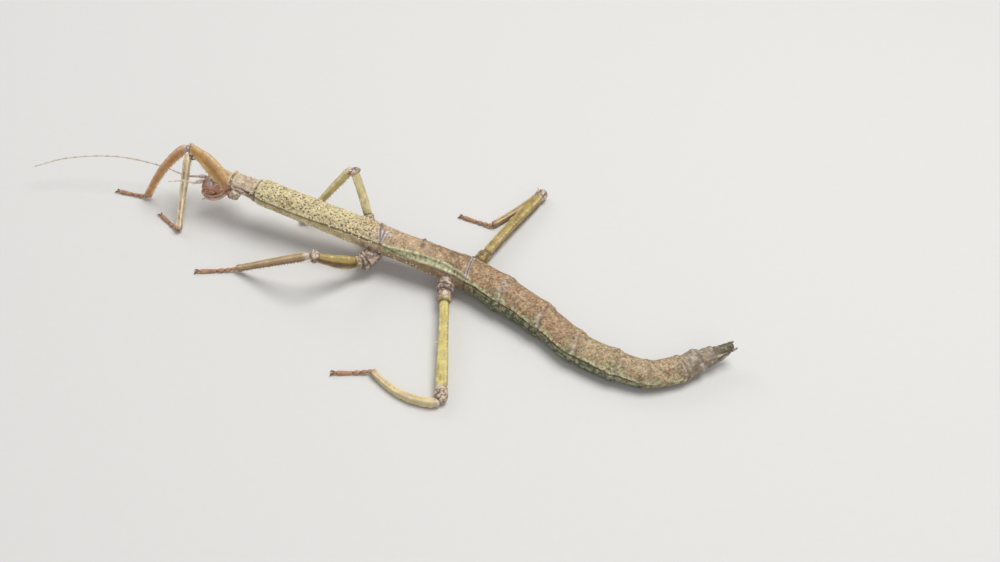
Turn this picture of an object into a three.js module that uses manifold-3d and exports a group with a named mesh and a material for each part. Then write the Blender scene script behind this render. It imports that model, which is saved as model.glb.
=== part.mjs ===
/*
 * A large wingless female stick insect, life size, standing at rest.
 *
 * Millimetres. +X runs forward along the thorax, +Y to the insect's left, +Z up.
 * The origin lies on the floor, under the middle of the whole animal.
 * Every named part is one closed solid; neighbours keep a gap of SEAM.
 */
import * as THREE from 'three';
import { mergeVertices } from 'three/addons/utils/BufferGeometryUtils.js';
import Module from 'manifold-3d';

const wasm = await Module();
wasm.setup();

// ---------------------------------------------------------------- driving dimensions

const SEAM = 0.3;               // gap between two parts that meet
const SMALL_SEAM = 0.22;        // the same between the small parts of head, feet and tail
const WELD = 1e-4;              // vertices nearer than this are one
const NECK = new THREE.Vector3(44.5, 0.2, 17.1);

// Trunk, from the neck back: name, length, heading in degrees to the left of +X, pitch in degrees
// above level, width in front, width at the rear, height over width, swelling of the rear rim.
const TRUNK = [
  ['prothorax', 11.5, 0, 5.0, 6.8, 7.6, 0.96, 0.02],
  ['mesothorax', 47.3, 0, 6.0, 9.4, 10.4, 0.96, 0.02],
  ['metathorax', 17.0, 1, 6.6, 10.1, 10.2, 0.97, 0.03],
  ['abdomen_1', 16.0, 0, 7.5, 10.3, 11.6, 0.98, 0.03],
  ['abdomen_2', 15.5, -12.5, 4.4, 11.8, 13.0, 0.98, 0.05],
  ['abdomen_3', 16.9, -17, 3.15, 12.3, 11.9, 0.98, 0.03],
  ['abdomen_4', 15.1, -23, 1.1, 10.8, 11.2, 0.98, 0.03],
  ['abdomen_5', 14.0, -7, 1.0, 10.3, 10.8, 0.98, 0.03],
  ['abdomen_6', 10.2, 6, 1.7, 9.8, 9.4, 0.99, 0.03],
  ['abdomen_7', 11.2, 37, 1.0, 9.1, 9.2, 1.0, 0.04],
  ['abdomen_8', 6.4, 51, -7.2, 8.5, 8.6, 0.94, 0.05],
  ['abdomen_9', 5.4, 42, -11.8, 6.9, 5.9, 0.86, 0.05],
  ['abdomen_10', 6.6, 42, -15.8, 4.9, 2.8, 0.8, 0.0],
].map(([name, length, heading, pitch, front, rear, deep, flare]) => (
  { name, length, heading, pitch, front, rear, deep, flare }
));
const TRUNK_SIDES = 16;
const TRUNK_STEPS = { mesothorax: 7, abdomen_8: 3, abdomen_9: 3, abdomen_10: 3 };
const TRUNK_STEPS_SHORT = 4;
const RESTING = ['abdomen_2', 'abdomen_3', 'abdomen_4', 'abdomen_5', 'abdomen_6', 'abdomen_7'];

// Head, in a frame of its own: x forward, y left, z up, origin at its middle.
const HEAD = {
  middle: new THREE.Vector3(50.45, 1.2, 14.3), heading: 15, pitch: -8,
  length: 11.6, width: 6.9, height: 7.2, eye: 1.0, eyeForward: 0.6, eyeSide: 2.6, eyeUp: 2.55,
};
// Where the feelers' threads go beyond their thick roots, in the insect's own frame.
const ANTENNAE = {
  left: { thick: 0.66, tip: 0.5, steps: 5, route: [[61.3, 6.1, 15.9], [65.3, 9.0, 16.6]] },
  right: {
    thick: 0.8, tip: 0.5, steps: 18,
    route: [
      [65.1, -0.1, 12.1], [74.8, -1.1, 12.1], [92.0, 2.7, 14.1], [110.5, 9.4, 12.2], [121.0, 15.4, 9.4],
    ],
  },
};
const SCAPE = { length: 4.2, thick: 1.6, forward: 3.7, side: 1.15, up: 2.5, azimuth: 10, elevation: -7 };

// Legs. back: distance of the hip behind the neck; side and drop: from the trunk's centre line.
// Lengths run from hip to knee, knee to ankle and ankle to toe. coxa and knee are radii. coxaRoot is
// how far back, inward and up of the hip the coxa starts, coxaBend how straight it comes from there
// and coxaEnd its reach past the hip. start is how far beyond the hip the thigh starts, knob the
// thickness of its root and knobLength the root's reach. base, wide and kneeHigh are heights of the
// thigh from its root to its knee, full the share of its length by which it is widest, thin its
// thickness and flare the share from which it thickens into the knee.
const LEGS = {
  fore: {
    back: 2.1, side: 3.7, drop: 4.4, femur: 23.8, tibia: 32.4, tarsus: 11.5, coxa: 1.85, tilt: 35,
    coxaRoot: [-0.3, 1.1, 4.4], coxaBend: 0.5, coxaEnd: 0.2, start: 0.1,
    knob: 2.9, knobLength: 2.6, base: 4.0, wide: 5.9, kneeHigh: 3.3, full: 0.42, thin: 2.2,
    flare: 0.86, shin: 3.3, shinThin: 2.3, knee: 1.75,
  },
  mid: {
    back: 57.0, side: 7.4, drop: 5.4, femur: 22.8, tibia: 34.3, tarsus: 12.9, coxa: 3.3, tilt: 22,
    coxaRoot: [0, 1.4, 1.0], coxaBend: 0, coxaEnd: 1.7, start: 2.4,
    knob: 4.2, knobLength: 3.8, base: 3.9, wide: 4.6, kneeHigh: 3.0, full: 0.34, thin: 3.0,
    flare: 0.86, shin: 2.7, shinThin: 2.3, knee: 2.35,
  },
  hind: {
    back: 87.5, side: 7.0, drop: 2.6, femur: 47.4, tibia: 26.0, tarsus: 11.7, coxa: 3.1, tilt: 0,
    coxaRoot: [0, 1.4, 1.0], coxaBend: 0, coxaEnd: 1.7, start: 2.4,
    knob: 4.9, knobLength: 6.2, base: 3.5, wide: 3.7, kneeHigh: 4.2, full: 0.4, thin: 3.3,
    flare: 0.4, shin: 2.9, shinThin: 2.3, knee: 2.05,
  },
};
// femur, tibia and tarsus: degrees each length points to the left of +X; rise: degrees the femur
// climbs. The tibia's slope follows, as the ankle has a set height. In millimetres, ahead is how far
// the hip swings forward of its place on the trunk, bow and arch are how far the femur's middle
// stands outward and upward, sag how far the tibia's stands to its left, and crook forward. shorter
// is how much of the kind's shin this leg lacks, and lower how much lower its hip sits.
const STANCE = {
  fore_left: {
    ahead: 0, femur: -12.1, rise: 37.5, tibia: 16.6, tarsus: 6,
    bow: -0.4, arch: 3.8, sag: 0.3, crook: 1.8, lower: 0, shorter: 0,
  },
  fore_right: {
    ahead: 0, femur: -2.1, rise: 16.4, tibia: 106, tarsus: -24,
    bow: 1.3, arch: -0.6, sag: 0, crook: 0.2, lower: 0, shorter: 4.4,
  },
  mid_left: {
    ahead: 0, femur: 50.9, rise: 31.9, tibia: 3.6, tarsus: 26,
    bow: 0.3, arch: -1.0, sag: 0.5, crook: 0.4, lower: 0, shorter: 0,
  },
  mid_right: {
    ahead: 6.0, femur: -40.4, rise: 52.4, tibia: 33, tarsus: -40,
    bow: 0.6, arch: 0.6, sag: 0.3, crook: 0.4, lower: 0, shorter: 4.1,
  },
  hind_left: {
    ahead: 1.5, femur: 113.8, rise: -3.5, tibia: -7.6, tarsus: 24,
    bow: -0.5, arch: 0.6, sag: 3.2, crook: 0, lower: 0, shorter: 0,
  },
  hind_right: {
    ahead: -3.2, femur: -98.5, rise: -1.5, tibia: 66, tarsus: -3,
    bow: -0.2, arch: 0.6, sag: 0.6, crook: 0, lower: 1.7, shorter: 0,
  },
};
const ANKLE_HEIGHT = 1.5;
const TOE_HEIGHT = 0.62;        // height of the foot's centre line, a little less than its radius
const FOOT_RADIUS = 0.74;
const FOOT_JOINTS = 5;
const CLAW = { length: 2.3, thick: 0.62, tip: 0.3, spread: 24, pad: 1.1 };
const TAIL = { cercusLength: 2.1, cercusWide: 1.3, cercusThin: 0.6, plateWide: 4.2 };

const COLOURS = {
  head: 0xa88a78, eye: 0xcdbb9a, mouth: 0xb98a7c, antenna: 0xcfc8a8,
  prothorax: 0x9a8f7e, mesothorax: 0xa39a62, metathorax: 0x8f8360, abdomen: 0x86704f, tail: 0x5f5a45,
  fore: 0xb9803f, mid: 0x9a8a45, hind: 0xa39a4a, tibia: 0xb08c58, tarsus: 0x7a4a38, claw: 0x54372c,
};

// ---------------------------------------------------------------- small helpers

const UP = new THREE.Vector3(0, 0, 1);
const radians = THREE.MathUtils.degToRad;
const mix = THREE.MathUtils.lerp;
const smooth = THREE.MathUtils.smoothstep;

/* A unit vector that points azimuth degrees to the left of +X and elevation degrees up. */
function direction(azimuth, elevation) {
  const level = Math.cos(radians(elevation));
  return new THREE.Vector3(
    level * Math.cos(radians(azimuth)),
    level * Math.sin(radians(azimuth)),
    Math.sin(radians(elevation)),
  );
}

/* Only positions and shared vertices, as a solid needs. */
function weld(geometry) {
  geometry.deleteAttribute('normal');
  geometry.deleteAttribute('uv');
  return mergeVertices(geometry, WELD);
}

/* A closed body from a unit cylinder. place(t, angle, radius) says where each vertex goes:
   t runs from 0 at the start to 1 at the end, and angle turns from the left over the top.
   A side, not an edge, faces down, so that what rests on the floor has a flat. */
function sweep(sides, steps, place) {
  const geometry = new THREE.CylinderGeometry(1, 1, 1, sides, steps, false, Math.PI / sides);
  const vertices = geometry.attributes.position;
  for (let i = 0; i < vertices.count; i += 1) {
    const across = vertices.getX(i);
    const down = vertices.getZ(i);
    const point = place(vertices.getY(i) + 0.5, Math.atan2(-down, across), Math.hypot(across, down));
    vertices.setXYZ(i, point.x, point.y, point.z);
  }
  return weld(geometry);
}

/* The left-hand and upward directions of a section whose tangent points forward. */
function sectionAxes(tangent, leftHint) {
  const left = leftHint
    ? leftHint.clone().addScaledVector(tangent, -leftHint.dot(tangent)).normalize()
    : new THREE.Vector3().crossVectors(UP, tangent).normalize();
  return { left, up: new THREE.Vector3().crossVectors(tangent, left) };
}

/* A bar of changing section along a curve. size(t, angle) gives its half width and half height. */
function bar(curve, sides, steps, size, { grow = 0, left = null, floor = null } = {}) {
  return sweep(sides, steps, (t, angle, radius) => {
    const tangent = curve.getTangent(t);
    const axes = sectionAxes(tangent, left);
    const [halfWidth, halfHeight] = size(t, angle);
    const point = curve.getPoint(t);
    point.addScaledVector(tangent, (t < 0.5 ? -grow : grow) * Math.abs(2 * t - 1));
    point.addScaledVector(axes.left, radius * Math.cos(angle) * (halfWidth + grow));
    point.addScaledVector(axes.up, radius * Math.sin(angle) * (halfHeight + grow));
    if (floor !== null) point.z = Math.max(point.z, floor);
    return point;
  });
}

/* A rounded lump: an ellipsoid of three radii, turned so that its first axis lies along a line. */
function lump(middle, along, radii, detail = 10) {
  const geometry = weld(new THREE.SphereGeometry(1, detail, Math.round(detail * 0.7)));
  geometry.scale(radii[0], radii[1], radii[2]);
  const axes = sectionAxes(along);
  geometry.applyMatrix4(new THREE.Matrix4().makeBasis(along, axes.left, axes.up).setPosition(middle));
  return geometry;
}

function toSolid(geometry) {
  return new wasm.Manifold(new wasm.Mesh({
    numProp: 3,
    vertProperties: new Float32Array(geometry.attributes.position.array),
    triVerts: new Uint32Array(geometry.index.array),
  }));
}

function toGeometry(solid) {
  const { vertProperties, triVerts } = solid.getMesh();
  const geometry = new THREE.BufferGeometry();
  geometry.setAttribute('position', new THREE.BufferAttribute(vertProperties, 3));
  geometry.setIndex(new THREE.BufferAttribute(triVerts, 1));
  return geometry;
}

/* The geometry less everything that the cutters hold; crumbs that come loose are dropped. */
function trim(geometry, ...cutters) {
  let solid = toSolid(geometry);
  for (const cutter of cutters) solid = solid.subtract(toSolid(cutter));
  const pieces = solid.decompose().sort((a, b) => b.volume() - a.volume());
  return toGeometry(pieces[0]);
}

function join(...geometries) {
  return toGeometry(geometries.map(toSolid).reduce((whole, next) => whole.add(next)));
}

function part(name, geometry, color, roughness = 0.7) {
  const shaded = geometry.toNonIndexed();
  shaded.computeVertexNormals();
  const mesh = new THREE.Mesh(shaded, new THREE.MeshStandardMaterial({ color, roughness, metalness: 0 }));
  mesh.name = name;
  return mesh;
}

// ---------------------------------------------------------------- trunk

/* The joints of the trunk, from the neck to the tail. */
function trunkJoints() {
  const joints = [NECK.clone()];
  for (const segment of TRUNK) {
    const step = direction(segment.heading, segment.pitch).multiplyScalar(-segment.length);
    joints.push(joints[joints.length - 1].clone().add(step));
  }
  return joints;
}

const trunkLine = new THREE.CatmullRomCurve3(trunkJoints(), false, 'centripetal');

/* Half width and half height of a trunk segment at u, from 0 at its front to 1 at its rear. */
function trunkSize(segment, u) {
  const taper = mix(segment.front, segment.rear, u) / 2;
  const waist = 1 - 0.025 * Math.sin(Math.PI * u);
  const rim = 1 + segment.flare * smooth(u, 0.8, 0.97);
  const halfWidth = taper * waist * rim;
  return [halfWidth, halfWidth * segment.deep];
}

/* A stretch of trunk between two places, counted in segments from the neck. */
function trunkStretch(from, to, steps, grow, floor) {
  return sweep(TRUNK_SIDES, steps, (t, angle, radius) => {
    const place = mix(to, from, t);
    const index = Math.min(Math.floor(place), TRUNK.length - 1);
    const tangent = trunkLine.getTangent(place / TRUNK.length).negate();
    const { left, up } = sectionAxes(tangent);
    const [halfWidth, halfHeight] = trunkSize(TRUNK[index], place - index);
    const point = trunkLine.getPoint(place / TRUNK.length);
    point.addScaledVector(left, radius * Math.cos(angle) * (halfWidth + grow));
    point.addScaledVector(up, radius * Math.sin(angle) * (halfHeight + grow));
    if (floor !== null) point.z = Math.max(point.z, floor);
    return point;
  });
}

function trunkSegment(index, grow = 0) {
  const segment = TRUNK[index];
  const inset = (SEAM / 2 - grow) / segment.length;
  const steps = TRUNK_STEPS[segment.name] ?? TRUNK_STEPS_SHORT;
  const floor = grow === 0 && RESTING.includes(segment.name) ? 0 : null;
  const rear = Math.min(index + 1 - inset, TRUNK.length);
  return trunkStretch(Math.max(index + inset, 0), rear, steps, grow, floor);
}

/* The whole trunk a seam fatter, for cutting what leans against it. */
function trunkCutter(first, last) {
  return trunkStretch(first, last, Math.ceil((last - first) * 6), SEAM, null);
}

// ---------------------------------------------------------------- head

/* Half width and half height of the head capsule at t, from the neck to the mouth. */
function headSize(t) {
  const round = Math.sqrt(1 - Math.abs((2 * t - 1) / 1.03) ** 2.8);
  const cheeks = mix(0.9, 1.0, smooth(t, 0.3, 0.7));
  return [HEAD.width / 2 * round * cheeks, HEAD.height / 2 * round ** 0.85];
}

function headCapsule() {
  const line = new THREE.LineCurve3(
    new THREE.Vector3(-HEAD.length / 2, 0, 0.4),
    new THREE.Vector3(HEAD.length / 2, 0, -0.5),
  );
  return bar(line, 12, 8, headSize);
}

function eyeball(side, grow = 0) {
  const middle = new THREE.Vector3(HEAD.eyeForward, side * HEAD.eyeSide, HEAD.eyeUp);
  const outward = new THREE.Vector3(0.25, side, 0.35).normalize();
  return lump(middle, outward, [0.85 + grow, HEAD.eye + grow, HEAD.eye + grow], 10);
}

/* Lip, jaws and four short feelers under the front of the head, as one solid. */
function mouth() {
  const jaws = bar(
    new THREE.QuadraticBezierCurve3(
      new THREE.Vector3(-2.2, 0, -3.5),
      new THREE.Vector3(2.2, 0, -5.0),
      new THREE.Vector3(6.3, 0, -3.1),
    ),
    8, 5, (t) => {
      const full = Math.sin(Math.PI * mix(0.14, 0.82, t));
      return [2.45 * full, 1.55 * full];
    },
  );
  const feelers = [[1, 4.7, 0.9], [-1, 4.7, 0.9], [1, 1.0, 1.2], [-1, 1.0, 1.2]].map(([side, x, out]) => {
    const start = new THREE.Vector3(x, side * 1.3, -4.1);
    const bend = new THREE.Vector3(x + 0.7, side * (1.8 + out * 0.4), -5.4);
    const end = new THREE.Vector3(x + 2.2, side * (1.5 + out * 0.5), -5.5);
    return bar(new THREE.QuadraticBezierCurve3(start, bend, end), 5, 3, (t) => {
      const half = mix(0.44, 0.3, t);
      return [half, half];
    });
  });
  return join(jaws, ...feelers);
}

/* The two thick joints at the root of a feeler, and the thread beyond them. */
function antennaRoot(side) {
  const start = new THREE.Vector3(SCAPE.forward, side * SCAPE.side, SCAPE.up);
  const along = direction(side * SCAPE.azimuth, SCAPE.elevation);
  return { start, along, end: start.clone().addScaledVector(along, SCAPE.length) };
}

function scape(side, grow = 0) {
  const { start, end } = antennaRoot(side);
  return bar(new THREE.LineCurve3(start, end), 7, 6, (t) => {
    const half = SCAPE.thick / 2 * mix(1, 0.7, smooth(t, 0.5, 0.62)) * mix(0.75, 1, smooth(t, 0, 0.15));
    return [half, half * 0.85];
  }, { grow });
}

/* toHead turns the insect's own frame into the head's. */
function feeler(side, shape, toHead) {
  const { along, end } = antennaRoot(side);
  const start = end.clone().addScaledVector(along, SMALL_SEAM);
  const route = shape.route.map((place) => new THREE.Vector3(...place).applyMatrix4(toHead));
  return bar(new THREE.CatmullRomCurve3([start, ...route]), 6, shape.steps, (t) => {
    const half = mix(shape.thick, shape.tip, t) / 2;
    return [half, half];
  });
}

function buildHead() {
  const head = new THREE.Group();
  head.position.copy(HEAD.middle);
  head.rotation.set(0, radians(-HEAD.pitch), radians(HEAD.heading), 'ZYX');
  head.updateMatrixWorld(true);
  const toHead = head.matrixWorld.clone().invert();
  const neck = trunkCutter(0, 1.2).applyMatrix4(toHead);
  const eyes = [1, -1].map((side) => eyeball(side, SMALL_SEAM));
  const scapes = [1, -1].map((side) => scape(side, SMALL_SEAM));
  const capsule = trim(headCapsule(), neck, ...eyes, ...scapes);
  const fatCapsule = headCapsule().scale(1 + SEAM / 5, 1 + SEAM / 3, 1 + SEAM / 3);
  head.add(part('head', capsule, COLOURS.head));
  head.add(part('mouthparts', trim(mouth(), fatCapsule), COLOURS.mouth));
  for (const [name, side] of [['left', 1], ['right', -1]]) {
    head.add(part(`eye_${name}`, eyeball(side), COLOURS.eye, 0.25));
    head.add(part(`antenna_base_${name}`, scape(side), COLOURS.antenna));
    head.add(part(`antenna_${name}`, feeler(side, ANTENNAE[name], toHead), COLOURS.antenna));
  }
  return head;
}

// ---------------------------------------------------------------- legs

/* The joints of one leg in the insect's own frame. */
function legJoints(kind, side, stance) {
  const leg = LEGS[kind];
  const along = trunkLine.getPointAt(leg.back / trunkLine.getLength());
  const hip = along.add(new THREE.Vector3(stance.ahead, side * leg.side, -leg.drop - stance.lower));
  const knee = hip.clone().add(direction(stance.femur, stance.rise).multiplyScalar(leg.femur));
  const shin = leg.tibia - stance.shorter;
  const fall = THREE.MathUtils.radToDeg(Math.asin((ANKLE_HEIGHT - knee.z) / shin));
  const ankle = knee.clone().add(direction(stance.tibia, fall).multiplyScalar(shin));
  const toe = ankle.clone().add(direction(stance.tarsus, 0).multiplyScalar(leg.tarsus));
  toe.z = TOE_HEIGHT;
  return { hip, knee, ankle, toe };
}

/* A leg's coxa: a short barrel that comes out of the trunk. */
function coxaSolid(leg, side, joints, stance) {
  const outward = direction(stance.femur, Math.min(stance.rise, 10));
  const root = joints.hip.clone().addScaledVector(outward, -2.6);
  const [back, inward, up] = leg.coxaRoot;
  root.x -= stance.ahead + back;
  root.y -= side * inward;
  root.z += up;
  const end = joints.hip.clone().addScaledVector(outward, leg.coxaEnd);
  const middle = joints.hip.clone().lerp(root, leg.coxaBend).addScaledVector(UP, 0.2);
  return bar(new THREE.QuadraticBezierCurve3(root, middle, end), 8, 4, (t) => {
    const half = leg.coxa * mix(0.9, 1, Math.sin(Math.PI * t)) * mix(1, 0.78, smooth(t, 0.75, 1));
    return [half, half];
  });
}

/* Half width and half height of a thigh at t, from its knob to its round knee. */
function femurSize(leg, t) {
  const knobEnd = leg.knobLength / leg.femur;
  const root = 1 - smooth(t, knobEnd * 0.8, knobEnd * 1.1);
  const ball = smooth(t, leg.flare, 0.93);
  const body = mix(leg.base, leg.wide, smooth(t, knobEnd, leg.full));
  const high = mix(body, leg.kneeHigh, smooth(t, leg.full + 0.05, 0.9));
  const cap = t > 0.93 ? Math.sqrt(Math.max(1 - ((t - 0.93) / 0.105) ** 2, 0.08)) : 1;
  const blunt = cap * mix(0.8, 1, smooth(t, 0, knobEnd * 0.35));
  return [
    mix(mix(leg.thin, leg.knob, root), leg.knee * 2, ball) / 2 * blunt,
    mix(mix(high, leg.knob, root), leg.knee * 2, ball) / 2 * blunt,
  ];
}

/* Thigh: a knob at its root, a blade or beam, and a round knee. */
function femurSolid(leg, side, joints, stance, grow = 0) {
  const axis = joints.knee.clone().sub(joints.hip).normalize();
  const start = joints.hip.clone().addScaledVector(axis, leg.start);
  const outward = new THREE.Vector3(0, side, 0);
  const bend = start.clone().lerp(joints.knee, 0.42);
  bend.addScaledVector(outward, stance.bow * 2).addScaledVector(UP, stance.arch * 2);
  const curve = new THREE.QuadraticBezierCurve3(start, bend, joints.knee);
  const flat = new THREE.Vector3(-axis.y, axis.x, 0).normalize();
  flat.applyAxisAngle(axis, side * radians(leg.tilt));
  return bar(curve, 8, 14, (t) => femurSize(leg, t), { grow, left: flat });
}

/* Shin: a slim toothed beam from the knee to the ankle. */
function tibiaSolid(leg, joints, stance, grow = 0) {
  const axis = joints.ankle.clone().sub(joints.knee).normalize();
  const start = joints.knee.clone().addScaledVector(axis, leg.knee * 0.6);
  const end = joints.ankle.clone().addScaledVector(axis, -0.3);
  const flat = direction(stance.tibia + 90, 0);
  const front = new THREE.Vector3().crossVectors(axis, flat);
  const bend = start.clone().lerp(end, 0.42);
  bend.addScaledVector(flat, stance.sag * 2).addScaledVector(front, stance.crook * 2);
  const curve = new THREE.QuadraticBezierCurve3(start, bend, end);
  const teeth = 10;
  return bar(curve, 6, teeth, (t) => {
    const root = mix(0.8, 1, smooth(t, 0, 0.12));
    const taper = mix(1, 0.74, smooth(t, 0.1, 1)) * root;
    const tooth = 0.1 * (1 - Math.cos(Math.PI * teeth * t));
    return [leg.shinThin / 2 * taper, (leg.shin / 2 + tooth) * taper];
  }, { grow, left: flat });
}

function footCurve(joints) {
  const axis = joints.toe.clone().sub(joints.ankle).setZ(0).normalize();
  const start = joints.ankle.clone().addScaledVector(axis, 0.2);
  const bend = joints.ankle.clone().lerp(joints.toe, 0.3);
  bend.z = TOE_HEIGHT;
  return new THREE.QuadraticBezierCurve3(start, bend, joints.toe);
}

/* Foot: five short joints, the last one long and club-shaped, flat where they meet the floor. */
function tarsusSolid(joints, grow = 0) {
  return bar(footCurve(joints), 6, 15, (t) => {
    const last = smooth(t, 0.62, 0.95);
    const swell = 0.86 + 0.14 * Math.cos(2 * Math.PI * (t * FOOT_JOINTS - 0.62));
    const half = FOOT_RADIUS * (t < 0.7 ? swell : mix(0.8, 1.08, last)) * mix(0.8, 1, smooth(t, 0, 0.06));
    return [half, half];
  }, { grow, floor: grow ? null : 0 });
}

/* Two hooked claws with a soft pad between them. */
function clawSolid(joints) {
  const axis = footCurve(joints).getTangent(1).setZ(0).normalize();
  const root = joints.toe.clone().addScaledVector(axis, -0.1);
  root.z = FOOT_RADIUS;
  const heading = THREE.MathUtils.radToDeg(Math.atan2(axis.y, axis.x));
  const hooks = [1, -1].map((side) => {
    const way = direction(heading + side * CLAW.spread, 0);
    const top = root.clone().addScaledVector(way, CLAW.length * 0.6).addScaledVector(UP, 0.75);
    const tip = root.clone().addScaledVector(way, CLAW.length).setZ(CLAW.tip / 2);
    return bar(new THREE.QuadraticBezierCurve3(root, top, tip), 4, 4, (t) => {
      const half = mix(CLAW.thick, CLAW.tip, t) / 2;
      return [half, half];
    }, { floor: 0 });
  });
  const padMiddle = root.clone().addScaledVector(axis, 0.7).setZ(0.5);
  const pad = lump(padMiddle, axis, [CLAW.pad, 0.62, 0.5], 6);
  return join(pad, ...hooks);
}

function buildLeg(name, stance) {
  const [kind, sideName] = name.split('_');
  const leg = LEGS[kind];
  const side = sideName === 'left' ? 1 : -1;
  const joints = legJoints(kind, side, stance);
  const near = Math.max(leg.back - 14, 0);
  const body = trunkCutter(Math.max(near / 30 - 0.6, 0), 5);
  const coxa = trim(coxaSolid(leg, side, joints, stance), body);
  const fatFemur = femurSolid(leg, side, joints, stance, SMALL_SEAM);
  const group = new THREE.Group();
  group.add(part(`${name}_coxa`, trim(coxa, fatFemur), COLOURS[kind]));
  group.add(part(`${name}_femur`, trim(femurSolid(leg, side, joints, stance), body), COLOURS[kind], 0.55));
  const fatTibia = tibiaSolid(leg, joints, stance, SMALL_SEAM);
  const tibia = trim(tibiaSolid(leg, joints, stance), fatFemur);
  group.add(part(`${name}_tibia`, tibia, COLOURS.tibia, 0.55));
  group.add(part(`${name}_tarsus`, trim(tarsusSolid(joints), fatTibia), COLOURS.tarsus));
  const claws = trim(clawSolid(joints), tarsusSolid(joints, SMALL_SEAM));
  group.add(part(`${name}_claws`, claws, COLOURS.claw, 0.4));
  return group;
}

// ---------------------------------------------------------------- tail end

/* Two short leaf-shaped cerci beside the last segment, and the egg plate under it. */
function buildTail() {
  const tail = new THREE.Group();
  const end = trunkLine.getPoint(1);
  const back = trunkLine.getTangent(1);
  const { left, up } = sectionAxes(back.clone().negate());
  const body = trunkStretch(9.6, TRUNK.length, 20, SMALL_SEAM, null);
  for (const [name, side] of [['left', 1], ['right', -1]]) {
    const root = end.clone().addScaledVector(back, -1.4).addScaledVector(left, side * 1.75);
    root.addScaledVector(up, -0.4);
    const tip = root.clone().addScaledVector(back, TAIL.cercusLength).addScaledVector(left, side * -0.2);
    const leaf = bar(new THREE.LineCurve3(root, tip), 6, 4, (t) => {
      const wide = TAIL.cercusWide / 2 * mix(1, 0.45, t * t);
      return [TAIL.cercusThin / 2, wide];
    });
    tail.add(part(`cercus_${name}`, trim(leaf, body), COLOURS.tail));
  }
  const start = trunkLine.getPoint(10.35 / TRUNK.length).addScaledVector(up, -2.4);
  const middle = trunkLine.getPoint(11.6 / TRUNK.length).addScaledVector(up, -3.4);
  const tip = end.clone().addScaledVector(up, -1.9).addScaledVector(back, -0.6);
  const plate = bar(new THREE.QuadraticBezierCurve3(start, middle, tip), 8, 6, (t) => {
    const keel = Math.sin(Math.PI * mix(0.12, 0.88, t));
    return [TAIL.plateWide / 2 * keel, 1.25 * keel];
  }, { floor: 0.2 });
  tail.add(part('egg_plate', trim(plate, body), COLOURS.tail));
  return tail;
}

// ---------------------------------------------------------------- assembly

const insect = new THREE.Group();

for (const [index, segment] of TRUNK.entries()) {
  const color = COLOURS[segment.name] ?? (index > 9 ? COLOURS.tail : COLOURS.abdomen);
  insect.add(part(segment.name, trunkSegment(index), color));
}
insect.add(buildHead());
insect.add(buildTail());
for (const [name, stance] of Object.entries(STANCE)) insect.add(buildLeg(name, stance));

const whole = new THREE.Group();
whole.add(insect);
const extent = new THREE.Box3().setFromObject(whole);
const middle = extent.getCenter(new THREE.Vector3());
insect.position.set(-middle.x, -middle.y, 0);

export default whole;
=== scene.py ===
"""A large wingless female stick insect, life size, standing at rest on a pale floor.

Shapes are worked out in millimetres in the insect's own frame: +X runs forward along the thorax,
+Y to its left and +Z up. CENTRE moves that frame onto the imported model's, and MM makes it metres.
"""

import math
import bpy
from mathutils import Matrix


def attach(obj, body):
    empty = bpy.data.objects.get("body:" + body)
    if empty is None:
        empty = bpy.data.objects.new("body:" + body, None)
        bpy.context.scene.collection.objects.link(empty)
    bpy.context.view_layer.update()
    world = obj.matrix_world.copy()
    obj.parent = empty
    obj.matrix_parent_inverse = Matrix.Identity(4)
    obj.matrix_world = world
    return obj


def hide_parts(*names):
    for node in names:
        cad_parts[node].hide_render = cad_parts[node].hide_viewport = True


bl_info = {
    "name": "Stick Insect Builder",
    "version": (1, 0, 0),
    "blender": (4, 5, 0),
    "location": "View3D > Sidebar > Insect",
    "description": "Builds a life-size female stick insect around its packed frame",
    "category": "Object",
}

import bmesh
import bpy
import numpy as np
from bpy.props import FloatProperty, FloatVectorProperty, IntProperty, PointerProperty
from mathutils import Matrix, Vector

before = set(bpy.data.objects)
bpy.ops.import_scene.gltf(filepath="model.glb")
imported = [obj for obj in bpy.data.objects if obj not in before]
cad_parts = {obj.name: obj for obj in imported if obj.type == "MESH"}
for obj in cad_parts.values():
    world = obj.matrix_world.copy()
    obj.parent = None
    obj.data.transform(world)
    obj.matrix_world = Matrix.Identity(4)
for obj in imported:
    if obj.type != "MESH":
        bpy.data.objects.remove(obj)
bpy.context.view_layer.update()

MM = 0.001
CENTRE = np.array([8.372, 0.697, 0.0])
UP = np.array([0.0, 0.0, 1.0])
SIDES = (("left", 1), ("right", -1))

# ---------------------------------------------------------------- the frame's own sizes, in mm

NECK = np.array([44.5, 0.2, 17.1])
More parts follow.
